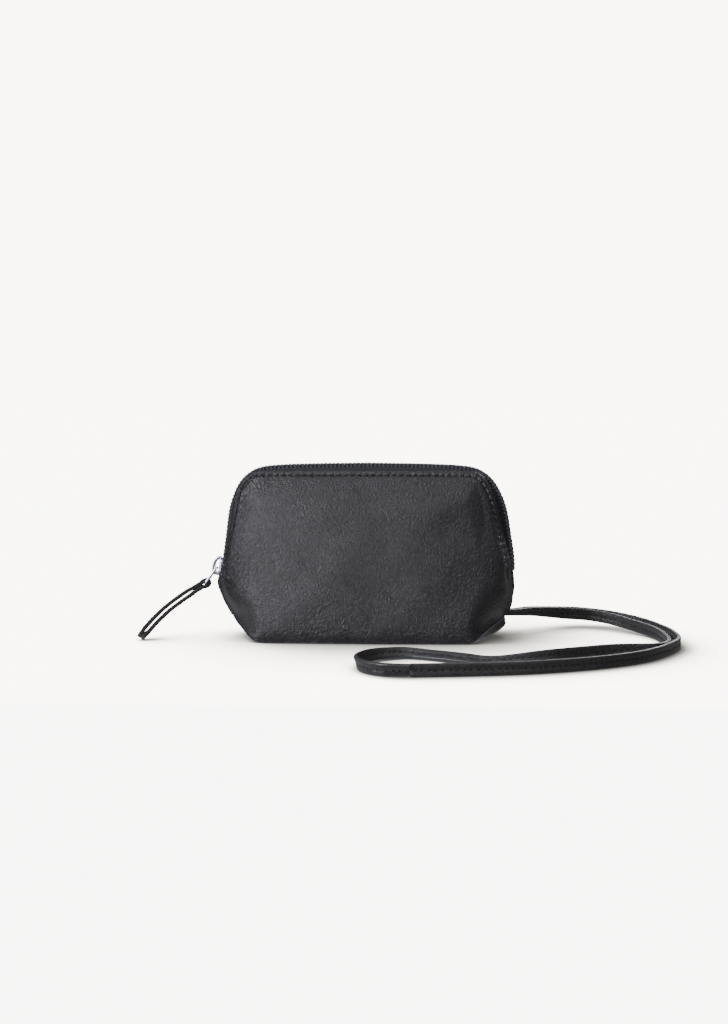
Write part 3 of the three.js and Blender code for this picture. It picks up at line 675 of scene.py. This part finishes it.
def capsule(centre, along, out, length, radius, rings=10, sides=8):
    """A short thread stitch: a rounded bar, a little flattened against the surface."""
    side = np.cross(along, out)
    pts = []
    for i in range(rings):
        a = math.pi * (i / (rings - 1))
        r = radius * math.sin(a) ** 0.5 if 0 < i < rings - 1 else radius * 0.25
        c = centre - along * math.cos(a) * length / 2 - out * STITCH_SINK * (1 - math.sin(a))
        for j in range(sides):
            b = 2 * math.pi * j / sides
            pts.append(c + side * r * math.cos(b) + out * r * STITCH_FLAT * math.sin(b))
    return tube_rings(np.array(pts).reshape(rings, sides, 3))


def along_line(line, distances, at):
    """The point at a distance along a line."""
    return np.array([np.interp(at, distances, line[:, i]) for i in range(line.shape[1])])


def topstitch():
    """The stitches beside the zip on the front panel."""
    xz, _, _, s = STITCH_PATH
    batch = Batch()
    for k in range(int(s[-1] / STITCH_PITCH)):
        at = (k + 0.5) * STITCH_PITCH
        x, z = along_line(xz, s, at)
        here = surface_point(x, z)
        along = surface_point(*along_line(xz, s, at + 0.6)) - here
        along /= np.linalg.norm(along)
        inwards = (x, z - 0.5) if abs(x) < RIM[0][0] else (x - math.copysign(0.5, x), z)
        out = np.cross(along, surface_point(*inwards) - here)
        out /= np.linalg.norm(out)
        if out[1] > 0:
            out = -out
        batch.add(*capsule(here + out * 0.12, along, out, length=3.1, radius=0.4))
    return batch


def surface_point(x, z):
    """A point on the finished front surface at (x, z)."""
    x, z = np.array([float(x)]), np.array([float(z)])
    y = -panel_depth(x, z) - leather_relief(x, z) * 0.8
    return np.array([x[0] + end_shift(x[0], z[0]), y[0], z[0] - droop(x[0])])


stitches = topstitch()
new_piece("topstitch_front", stitches.verts, stitches.faces, TOP_THREAD, slot="body_leather")
new_piece("topstitch_back", *mirror_y(stitches.verts, stitches.faces), TOP_THREAD, slot="body_leather")

# ---------------------------------------- zip

TEETH_START, TAPE_START = 39.0, 36.0  # heights where the teeth and the tape begin at both ends
TEETH_PITCH = 2.43
# The tape's middle line across the zip, as (depth below the teeth, distance from the middle plane).
TAPE_LINE = [(2.3, 0.9), (2.9, 3.2), (3.4, 4.6), (4.6, 5.2), (6.9, 5.6), (9.4, 6.9)]
TAPE_THICK = 0.56
# Across a tooth: distance from the middle plane, half width, and depths of its upper and lower faces.
TOOTH = [(3.1, 0.5, 0.55, 3.0), (2.7, 0.62, 0.12, 3.35), (1.7, 0.66, 0.0, 3.4), (0.9, 0.55, 0.25, 3.0),
         (0.1, 0.55, 0.3, 2.9), (-0.75, 0.6, 0.2, 3.0), (-1.1, 0.4, 0.7, 2.4)]
TOOTH_BEVEL = 0.28


def tape_profile():
    line = np.array(TAPE_LINE)
    d = np.gradient(line, axis=0)
    d /= np.linalg.norm(d, axis=1)[:, None]
    side = np.c_[-d[:, 1], d[:, 0]] * (TAPE_THICK / 2)
    return np.vstack([line + side, (line - side)[::-1]])


def swept(profile, start_z, step, sign):
    """A section of (depth, y) points carried along the mouth."""
    xz, _, normal, _ = teeth_path(start_z, step)
    depth, y = profile[:, 0], profile[:, 1]
    rings = [np.c_[p[0] - n[0] * depth, sign * y, p[1] - n[1] * depth] for p, n in zip(xz, normal)]
    verts, faces = tube_rings(np.array(rings))
    return (verts, faces) if sign < 0 else (verts, [f[::-1] for f in faces])


def tooth(p, t, n, sign):
    """One cast zip tooth: a broad jaw on the tape, a waist and a rounded head across the middle plane."""
    c = TOOTH_BEVEL
    rings = []
    for y, w, a, b in TOOTH:
        upper = [(-w, a + c), (-w + c, a), (w - c, a), (w, a + c)]
        lower = [(w, b - c), (w - c, b), (-w + c, b), (-w, b - c)]
        rings.append([[p[0] + t[0] * u - n[0] * h, sign * y, p[1] + t[1] * u - n[1] * h] for u, h in upper + lower])
    verts, faces = tube_rings(np.array(rings))
    return (verts, faces) if sign > 0 else (verts, [f[::-1] for f in faces])


def teeth_row(sign, shift):
    """One row of teeth, moved along the zip by a share of the pitch so that the two rows interlock."""
    *lines, s = teeth_path(TEETH_START, 0.3)
    batch = Batch()
    for at in np.arange(int((s[-1] - 1.2) / TEETH_PITCH) + 1) * TEETH_PITCH + (0.6 + shift * TEETH_PITCH):
        if at <= s[-1] - 0.4:
            batch.add(*tooth(*(along_line(line, s, at) for line in lines), sign))
    return batch


for label, sign, shift in (("front", -1, 0.0), ("back", 1, 0.5)):
    tape = new_piece(f"tape_{label}", *swept(tape_profile(), TAPE_START, 1.5, sign), TAPE, slot="zip_tape")
    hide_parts(f"zip_tape_{label}")
    row = teeth_row(sign, shift)
    teeth = new_piece(f"teeth_{label}", row.verts, row.faces, TEETH, slot="teeth_metal", smooth_shade=False)
    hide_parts(f"zip_teeth_{label}")

# ---------------------------------------- zip ends

for name, look in (("top_stop_front", NICKEL), ("top_stop_back", NICKEL), ("bottom_stop", TEETH)):
    dress(name, look)


def section_ring(width, thick, corner, steps=3):
    """A rounded rectangle as (across, up) points."""
    pts = []
    for cx, cy, start in ((1, 1, 0), (-1, 1, 90), (-1, -1, 180), (1, -1, 270)):
        for a in np.radians(start + 90 * np.arange(steps + 1) / steps):
            across = cx * (width / 2 - corner) + corner * math.cos(a)
            pts.append((across, cy * (thick / 2 - corner) + corner * math.sin(a)))
    return np.array(pts)


def sweep(path, across, up, section, closed=False):
    """A section carried along a path; across and up give its two directions at each point."""
    u, v = section[:, 0][None, :, None], section[:, 1][None, :, None]
    rings = path[:, None] + across[:, None] * u + up[:, None] * v
    if closed:
        rings = np.concatenate([rings, rings[:1]])
    return tube_rings(rings, closed_ends=not closed)


def tangents(path, closed=False):
    if closed:
        t = np.roll(path, -1, axis=0) - np.roll(path, 1, axis=0)
    else:
        t = np.gradient(path, axis=0)
    return t / np.linalg.norm(t, axis=1)[:, None]


Y = np.array([0.0, 1.0, 0.0])
TAB_TOP = {-1: 5.5, 1: 11.5}  # how far each binding reaches up past the end of the zip
TAB_STEP = {-1: 0.9, 1: -0.6}  # how far each binding stands out at the end of the zip
TAB_POINTS = 30


def end_tab(sign, low_z):
    """The leather binding that fills the end seam below the zip."""
    z = np.linspace(low_z, ZIP_END_Z + TAB_TOP[sign], TAB_POINTS)
    x = half_length(z) - 0.8 + TAB_STEP[sign] * bell(z, ZIP_END_Z + 1.5, 4.5)
    path = np.c_[sign * x, 0 * z, z]
    return sweep(path, np.cross(tangents(path), Y), np.tile(Y, (TAB_POINTS, 1)), section_ring(2.6, 1.3, 0.5))


for label, sign, low in (("left", -1, 12.5), ("right", 1, 15.5)):
    tab = new_piece(f"end_tab_{label}", *end_tab(sign, low), TRIM, slot="trim_leather")
    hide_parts(f"zip_end_tab_{label}")

# ---------------------------------------- slider

LEAN = math.radians(6.8)  # how far the left end leans in
SLIDER_AT = np.array([-88.16, 0, 42.2])  # on the outside of the teeth, at the middle of the slider
SLIDE = np.array([math.sin(LEAN), 0, math.cos(LEAN)])
OUTWARD = np.array([-math.cos(LEAN), 0, math.sin(LEAN)])


def on_slider(points):
    """(along the zip, across, height above the teeth) to the bag's frame."""
    p = np.asarray(points, float)
    return SLIDER_AT + p[..., :1] * SLIDE + p[..., 1:2] * Y + p[..., 2:3] * OUTWARD


def plate(outline, layers):
    """A plate with softened edges: the outline drawn in at each (height, inset)."""
    outline = np.array(outline, float)
    centre = outline.mean(axis=0)
    reach = np.linalg.norm(outline - centre, axis=1)[:, None]
    rings = []
    for height, inset in layers:
        flat = centre + (outline - centre) * (1 - inset / reach)
        rings.append(np.c_[flat, np.full(len(flat), height)])
    return tube_rings(on_slider(np.array(rings)))


def shield(half_long, half_wide, waist):
    """A slider plate's outline: two lobes at the leading end, drawn in at the tail."""
    pts = []
    for k in range(48):
        a = 2 * math.pi * k / 48
        u, v = (math.copysign(abs(c) ** 0.55, c) for c in (math.cos(a), math.sin(a)))
        x = half_long * u
        pts.append((x, half_wide * lerp(1.0, waist, (x / half_long + 1) / 2) * v))
    return pts


# Layers of the slider's two plates, as (height above the teeth, inset).
UPPER_PLATE = [(0.3, 0.25), (0.45, 0), (1.05, 0), (1.25, 0.12), (1.35, 0.4)]
LOWER_PLATE = [(-5.0, 0.35), (-4.85, 0.1), (-4.7, 0), (-4.05, 0), (-3.95, 0.2)]
SHELL_WAIST = 0.86


def slider_bar(points, section):
    """A straight bar on the slider, square to its plates."""
    path = on_slider(points)
    return sweep(path, np.tile(Y, (len(path), 1)), np.tile(OUTWARD, (len(path), 1)), section)


slider = Batch()
slider.add(*plate(shield(5.2, 4.4, SHELL_WAIST), UPPER_PLATE))
slider.add(*plate(shield(4.9, 3.3, SHELL_WAIST), LOWER_PLATE))
for side in (-1, 1):  # the flanges beside the teeth
    flange = [(u, side * lerp(4.05, 3.75, (u + 4) / 8), -0.45) for u in np.linspace(-4, 4, 9)]
    slider.add(*slider_bar(flange, section_ring(0.7, 1.9, 0.25)))
# The post between the plates, at the slider's tail.
slider.add(*slider_bar([(u, 0, -2.0) for u in (-4.4, -3.9, -3.0, -2.4)], section_ring(0.7, 5.0, 0.2)))
slider_body = new_piece("slider_shell", slider.verts, slider.faces, NICKEL, body="slider", slot="bright_metal")
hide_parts("slider_body")

# The bridge's middle line, as (along the zip, height above the teeth).
ARCH_LINE = [(5.0, 0.9), (4.75, 2.2), (3.5, 3.7), (1.4, 4.55),
             (-1.2, 4.75), (-3.4, 4.5), (-4.7, 3.4), (-4.95, 0.9)]
arch = spline(ARCH_LINE, 8)
path = on_slider(np.c_[arch[:, 0], 0 * arch[:, 0], arch[:, 1]])
across = np.tile(Y, (len(path), 1))
bridge = sweep(path, across, np.cross(tangents(path), Y), section_ring(3.2, 2.1, 0.6))
slider_bridge = new_piece("bridge", *bridge, NICKEL, body="slider", slot="bright_metal")
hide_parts("slider_bridge")

# ---------------------------------------- link and pull

PIVOT = on_slider([(-1.6, 0, 2.9)])[0]  # where the link turns in the bridge
LINK_ANGLE = math.radians(36)  # from hanging straight down
LINK_LONG, LINK_WIDE, LINK_CORNER = 11.7, 6.3, 1.5  # the middle line of its frame
ALONG = np.array([-math.sin(LINK_ANGLE), 0, -math.cos(LINK_ANGLE)])
LINK_UP = np.array([-math.cos(LINK_ANGLE), 0, math.sin(LINK_ANGLE)])


def link_mesh():
    """A flat stamped frame: a bar each end and two side rails."""
    ring = section_ring(LINK_LONG, LINK_WIDE, LINK_CORNER, steps=6)
    path = np.array([PIVOT + ALONG * (LINK_LONG / 2 + u) + Y * v for u, v in ring])
    up = np.tile(LINK_UP, (len(path), 1))
    across = np.cross(tangents(path, True), up)
    return sweep(path, across, up, section_ring(1.4, 1.25, 0.4), closed=True)


link_piece = new_piece("link_frame", *link_mesh(), NICKEL, body="link", slot="bright_metal")
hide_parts("pull_link")

# The middle line of the folded leather pull, from the link's end bar to the free end on the floor.
PULL_LINE = [(-97.9, 0, 31.6), (-103.1, -2.2, 28.8), (-111.2, -6.5, 23.6), (-119.2, -11.5, 17.6),
             (-125, -15.8, 12.1), (-128.8, -18.9, 7.9), (-131.2, -21.2, 5.0), (-133.4, -23.9, 2.1)]
PULL_WIDE, PLY = 5.2, 2.45  # width of the strip and thickness of one of its two plies
PULL_SLIT = 0.36  # half the gap between the plies, between their two sewn ends
PULL_EYE = 0.62  # how much further apart they are round the link's bar


def pull_strip():
    """One strip folded over the link: its path, and its two directions at each point."""
    line = spline(PULL_LINE, 8)
    t = tangents(line)
    up = np.cross(Y, t)
    up /= np.linalg.norm(up, axis=1)[:, None]
    side = np.cross(up, t)
    share = np.linspace(0, 1, len(line))
    slit = PULL_SLIT * smooth(0.17, 0.23, share) * (1 - smooth(0.84, 0.9, share))
    reach = PLY / 2 + 0.03 + slit + PULL_EYE * (1 - smooth(0.02, 0.07, share))
    top = line + up * reach[:, None]
    low = line - up * reach[:, None]
    nose = []
    for a in np.linspace(0, math.pi, 12)[1:-1]:
        nose.append(line[0] + reach[0] * (up[0] * math.cos(a) - t[0] * math.sin(a)))
    path = np.vstack([top[::-1], nose, low[1:]])
    sides = np.vstack([side[::-1], np.tile(side[0], (len(nose), 1)), side[1:]])
    return path, sides, np.cross(tangents(path), sides)


strip = sweep(*pull_strip(), section_ring(PULL_WIDE, PLY, 0.4))
pull = new_piece("pull_leather", *strip, TRIM, body="pull", slot="trim_leather")
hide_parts("pull_strip")

# ---------------------------------------- strap

# Plan view of the strap's middle line from one sewn end round to the other.
STRAP_PLAN = [(79, 2.4), (86.5, 2.2), (100, 22.5), (119.3, 42.2), (135.1, 47.4), (155.4, 39.3), (170.1, 24.4),
              (179.1, 1.8), (182.1, -22.1), (179.3, -49.2), (158.8, -84.7), (131.8, -106.9), (99.4, -122.3),
              (67.8, -130.7), (24, -136.6), (9.5, -132.5), (1.4, -121), (0.4, -106.5), (5.5, -93.5),
              (15.5, -84.5), (29, -80.5), (54.4, -93), (66.5, -101.5), (78, -101.5), (102.1, -91.1), (132.3, -73.3),
              (147.1, -68.1), (162.1, -66.5), (169.9, -61.6), (174.4, -50.4), (175.4, -32.4), (173.6, -9.4),
              (165.8, 9.2), (150.9, 29.6), (135.4, 39.4), (119.6, 35.7), (103.1, 20), (87, -1.6), (79, -2)]
STRAP_TALL, STRAP_THICK = 7.2, 2.3
STRAP_SEWN = 7.0  # the part of each end that is hidden in the seam
# Height off the floor at distances from the nearer seam.
STRAP_LIFT = [(0, 13.2), (25, 10.2), (56, 5.2), (85, 3.4), (111, 1.2), (135, 0)]
STRAP_TAPER = 55.0  # it reaches its full width this far from the seam
STRAP_STITCH = 3.7
INNER_LEAN, INNER_AT = math.radians(60), (54, -95)  # the returning strand leans over as it passes inside the loop


def strap_path():
    """The strap's middle line, with the distance along it, its share of the full width and its lean."""
    plan, _, _, s = resample(spline(STRAP_PLAN, 30), 0.8)
    from_end = np.minimum(s, s[-1] - s) - STRAP_SEWN
    window = np.hanning(25)
    lift = np.pad(np.interp(from_end, *zip(*STRAP_LIFT)), len(window) // 2, mode="edge")
    lift = np.convolve(lift, window / window.sum(), mode="valid")
    grow = lerp(0.5, 1.0, np.clip(from_end / STRAP_TAPER, 0, 1))
    away = np.hypot(*(plan - INNER_AT).T)
    lean = INNER_LEAN * (1 - smooth(18, 78, away)) * (s > s[-1] / 2 - 30)
    middle = lift + STRAP_TALL / 2 * grow * np.cos(lean) + STRAP_THICK / 2 * np.sin(lean) + 0.04
    return np.c_[plan, middle], s, grow, lean


def strap_section():
    """The strap's outline: two layers with a channel along the stitching and a split at each edge."""
    w = np.array([-1, -0.97, -0.86, -0.6, -0.3, -0.12, 0, 0.12, 0.3, 0.6, 0.86, 0.97, 1])
    t = np.array([0.55, 0.85, 1.02, 1.06, 0.98, 0.8, 0.66, 0.8, 0.98, 1.06, 1.02, 0.85, 0.55])
    right = np.c_[t * STRAP_THICK / 2, w * STRAP_TALL / 2]
    split = np.array([[0.12, STRAP_TALL / 2], [0.0, STRAP_TALL / 2 - 0.3], [-0.12, STRAP_TALL / 2]])
    return np.vstack([right, split, (right * [-1, 1])[::-1], split[::-1] * [1, -1]])


STRAP_PATH, STRAP_S, STRAP_GROW, STRAP_TILT = strap_path()


def strap_frames():
    """Directions across the strap's thickness and up its width, all along it."""
    rise = np.array([0, 0, 1.0])
    t = tangents(STRAP_PATH) * [1, 1, 0]
    t /= np.linalg.norm(t, axis=1)[:, None]
    level = np.cross(t, rise)
    cos, sin = np.cos(STRAP_TILT)[:, None], np.sin(STRAP_TILT)[:, None]
    return level * cos + rise * sin, rise * cos - level * sin


STRAP_ACROSS, STRAP_UP = strap_frames()


def strap_mesh(first, last):
    part = slice(first, last)
    section = strap_section()
    rings = STRAP_PATH[part, None] + STRAP_ACROSS[part, None] * section[:, 0][None, :, None]
    rings = rings + STRAP_UP[part, None] * section[:, 1][None, :, None] * STRAP_GROW[part, None, None]
    verts, faces = tube_rings(rings)
    return verts, [f[::-1] for f in faces]


def strap_piece(name, first, last, body):
    """A length of strap with its cut edges painted."""
    piece = new_piece(name, *strap_mesh(first, last), STRAP_LEATHER, body=body, slot="body_leather")
    piece.data.materials.append(EDGE)
    n = len(strap_section())
    middle = (n - 6) // 2  # where the first side ends: the section is two sides and two splits of three points
    edges = {*range(middle - 2, middle + 5), *(k % n for k in range(n - 5, n + 2))}
    for polygon in piece.data.polygons:
        if polygon.index % n in edges and len(polygon.vertices) == 4:
            polygon.material_index = 1
    return piece


def strap_stitches(first, last):
    """The stitches along the middle of both faces of the strap."""
    batch = Batch()
    t = tangents(STRAP_PATH)
    for k in range(int(STRAP_S[-1] / STRAP_STITCH)):
        at = (k + 0.5) * STRAP_STITCH
        if not STRAP_S[first] < at < STRAP_S[last - 1]:
            continue
        i = int(np.searchsorted(STRAP_S, at))
        along, across = t[i], STRAP_ACROSS[i]
        for sign in (-1, 1):
            centre = STRAP_PATH[i] + across * sign * STRAP_THICK / 2 * 0.8
            batch.add(*capsule(centre, along, across * sign, length=2.3, radius=0.46, rings=6, sides=6))
    return batch


ROOT = 17  # points of the path in each root, where the strap bends out of the seam
count = len(STRAP_PATH)
strap = strap_piece("strap_loop", ROOT, count - ROOT, body="strap")
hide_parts("strap_outer_layer", "strap_inner_layer")
sewn = strap_stitches(ROOT, count - ROOT)
new_piece("strap_stitching", sewn.verts, sewn.faces, THREAD, body="strap", slot="body_leather")
for label, first, last in (("a", 0, ROOT + 1), ("b", count - ROOT - 1, count)):
    root = strap_piece(f"strap_root_{label}", first, last, body=None)
    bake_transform(root)

# ---------------------------------------- stage, light and camera

# Lengths are in metres here.
WHITE = 9.2  # radiance that is shown as the photo's white
FLOOR_CORNERS = [(-30, -3, 0), (30, -3, 0), (30, 60, 0), (-30, 60, 0)]
NEAR_TONE_FROM, NEAR_TONE_TO = -0.215, -0.205  # where the floor changes to its near, deeper shade
SHADOW_REACH = 0.12
SHADOW_TILT = {"X": -0.5, "Y": 0.26, "Z": 0.82}  # most of the light comes from the left
SHADOW = [(0.0, 0.006), (0.3, 0.015), (0.5, 0.05), (0.7, 0.22), (0.84, 0.66), (0.96, 1.0)]
FLOOR_TONES = [(0.0, (0.86, 0.84, 0.81)), (1.0, (1.0, 0.955, 0.89))]


def floor_material(name, radiance):
    """A white sweep that glows, with a painted shadow that darkens it softly round whatever stands on it, and is a
    shade deeper near the camera.
    """
    material = bpy.data.materials.new(name)
    material.use_nodes = True
    tree = material.node_tree
    tree.nodes.remove(tree.nodes["Principled BSDF"])
    glow = add_node(tree, "ShaderNodeEmission", Strength=radiance)
    link(tree, glow, "Emission", tree.nodes["Material Output"], "Surface")
    # Painted shadow: the floor's glow is darkened where something close by hems it in, most to the right of the
    # bag.
    near = add_node(tree, "ShaderNodeAmbientOcclusion", Distance=SHADOW_REACH, samples=24)
    tilt = add_node(tree, "ShaderNodeCombineXYZ", **SHADOW_TILT)
    link(tree, tilt, "Vector", near, "Normal")
    shade = ramp(tree, SHADOW)
    link(tree, near, "AO", shade, "Fac")
    split = add_node(tree, "ShaderNodeSeparateXYZ")
    link(tree, add_node(tree, "ShaderNodeTexCoord"), "Object", split, "Vector")
    depth = map_range(tree, split, "Y", {"From Min": NEAR_TONE_FROM, "From Max": NEAR_TONE_TO})
    tone = ramp(tree, FLOOR_TONES)
    link(tree, depth, "Result", tone, "Fac")
    shaded = add_node(tree, "ShaderNodeMixRGB", blend_type="MULTIPLY", Fac=1.0)
    link(tree, shade, "Color", shaded, "Color1")
    link(tree, tone, "Color", shaded, "Color2")
    link(tree, shaded, "Color", glow, "Color")
    return material


floor_mesh = bpy.data.meshes.new("floor")
floor_mesh.from_pydata(FLOOR_CORNERS, [], [(0, 1, 2, 3)])
floor_mesh.materials.append(floor_material("floor_white", WHITE))
floor = bpy.data.objects.new("floor", floor_mesh)
bpy.context.scene.collection.objects.link(floor)
floor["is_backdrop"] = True
floor.visible_diffuse = False
floor.visible_glossy = False


def receivers_of_light(name, pieces):
    """A collection of the pieces that a light shines on."""
    collection = bpy.data.collections.new(name)
    for piece in pieces:
        collection.objects.link(piece)
    return collection


object_only = receivers_of_light("object_only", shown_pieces())
metal_only = receivers_of_light("metal_only", (slider_body, slider_bridge, link_piece))


def light(name, energy, receivers, location, target, size, colour=(1, 1, 1)):
    """A rectangular area light that shines only on its receivers."""
    data = bpy.data.lights.new(name, "AREA")
    data.energy = energy
    data.color = colour
    data.shape = "RECTANGLE"
    data.size, data.size_y = size
    obj = bpy.data.objects.new(name, data)
    bpy.context.scene.collection.objects.link(obj)
    obj.location = location
    obj.rotation_euler = (Vector(target) - Vector(location)).to_track_quat("-Z", "Y").to_euler()
    obj.light_linking.receiver_collection = receivers
    obj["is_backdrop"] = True


BAG_MIDDLE, SLIDER_PLACE = (0, 0, 0.05), (-0.09, 0, 0.04)
COOL = (0.92, 0.95, 1.0)
light("key", 37, object_only, (-1.08, -0.92, 0.62), BAG_MIDDLE, size=(0.4, 0.8), colour=(0.93, 0.93, 1.0))
light("top", 6, object_only, (0.0, 0.0, 1.3), (0, 0, 0), size=(1.2, 0.7), colour=(0.97, 0.97, 1.0))
light("front", 3, object_only, (0.5, -1.4, 0.6), BAG_MIDDLE, size=(0.9, 0.6))
light("rear", 15, object_only, (0.7, 1.5, 0.9), BAG_MIDDLE, size=(0.9, 0.6))
light("metal_box", 38, metal_only, (-1.2, -0.8, 0.5), SLIDER_PLACE, size=(1.4, 1.0), colour=COOL)
light("metal_top", 20, metal_only, (-0.4, -0.3, 1.2), SLIDER_PLACE, size=(1.2, 1.0), colour=COOL)

# The world is white where the camera sees it. As light, it is brightest from below, as off a white floor.
FLOOR_BOUNCE = (-0.2, 0.3, -0.93)

world = bpy.data.worlds.new("studio")
bpy.context.scene.world = world
world.use_nodes = True
tree = world.node_tree
background = tree.nodes["Background"]
rays = add_node(tree, "ShaderNodeLightPath")
seen = add_node(tree, "ShaderNodeMixRGB", blend_type="MIX", Color2=(WHITE, 8.6, 7.7, 1))
around = add_node(tree, "ShaderNodeTexCoord")
bounce = add_node(tree, "ShaderNodeVectorMath", operation="DOT_PRODUCT")
bounce.inputs[1].default_value = FLOOR_BOUNCE
link(tree, around, "Generated", bounce, "Vector")
shade = ramp(tree, [(0.25, (0.26, 0.26, 0.265)), (0.9, (0.85, 0.85, 0.88))])
link(tree, bounce, "Value", shade, "Fac")
link(tree, shade, "Color", seen, "Color1")
link(tree, rays, "Is Camera Ray", seen, "Fac")
link(tree, seen, "Color", background, "Color")

YAW, PITCH = math.radians(2.5), math.radians(4.22)
CAMERA_DISTANCE, CAMERA_HEIGHT, LENS = 0.883, 0.140, 51.5
SHIFT_X, SHIFT_Y, IMAGE_HEIGHT = -2.5, 0.7, 1024  # pixels

camera_data = bpy.data.cameras.new("camera")
camera_data.lens = LENS
camera_data.clip_end = 200
camera_data.shift_x, camera_data.shift_y = SHIFT_X / IMAGE_HEIGHT, SHIFT_Y / IMAGE_HEIGHT
camera = bpy.data.objects.new("camera", camera_data)
bpy.context.scene.collection.objects.link(camera)
camera.location = (CAMERA_DISTANCE * math.sin(YAW), -CAMERA_DISTANCE * math.cos(YAW), CAMERA_HEIGHT)
aim = Vector((-math.sin(YAW) * math.cos(PITCH), math.cos(YAW) * math.cos(PITCH), -math.sin(PITCH)))
camera.rotation_euler = aim.to_track_quat("-Z", "Y").to_euler()
bpy.context.scene.camera = camera
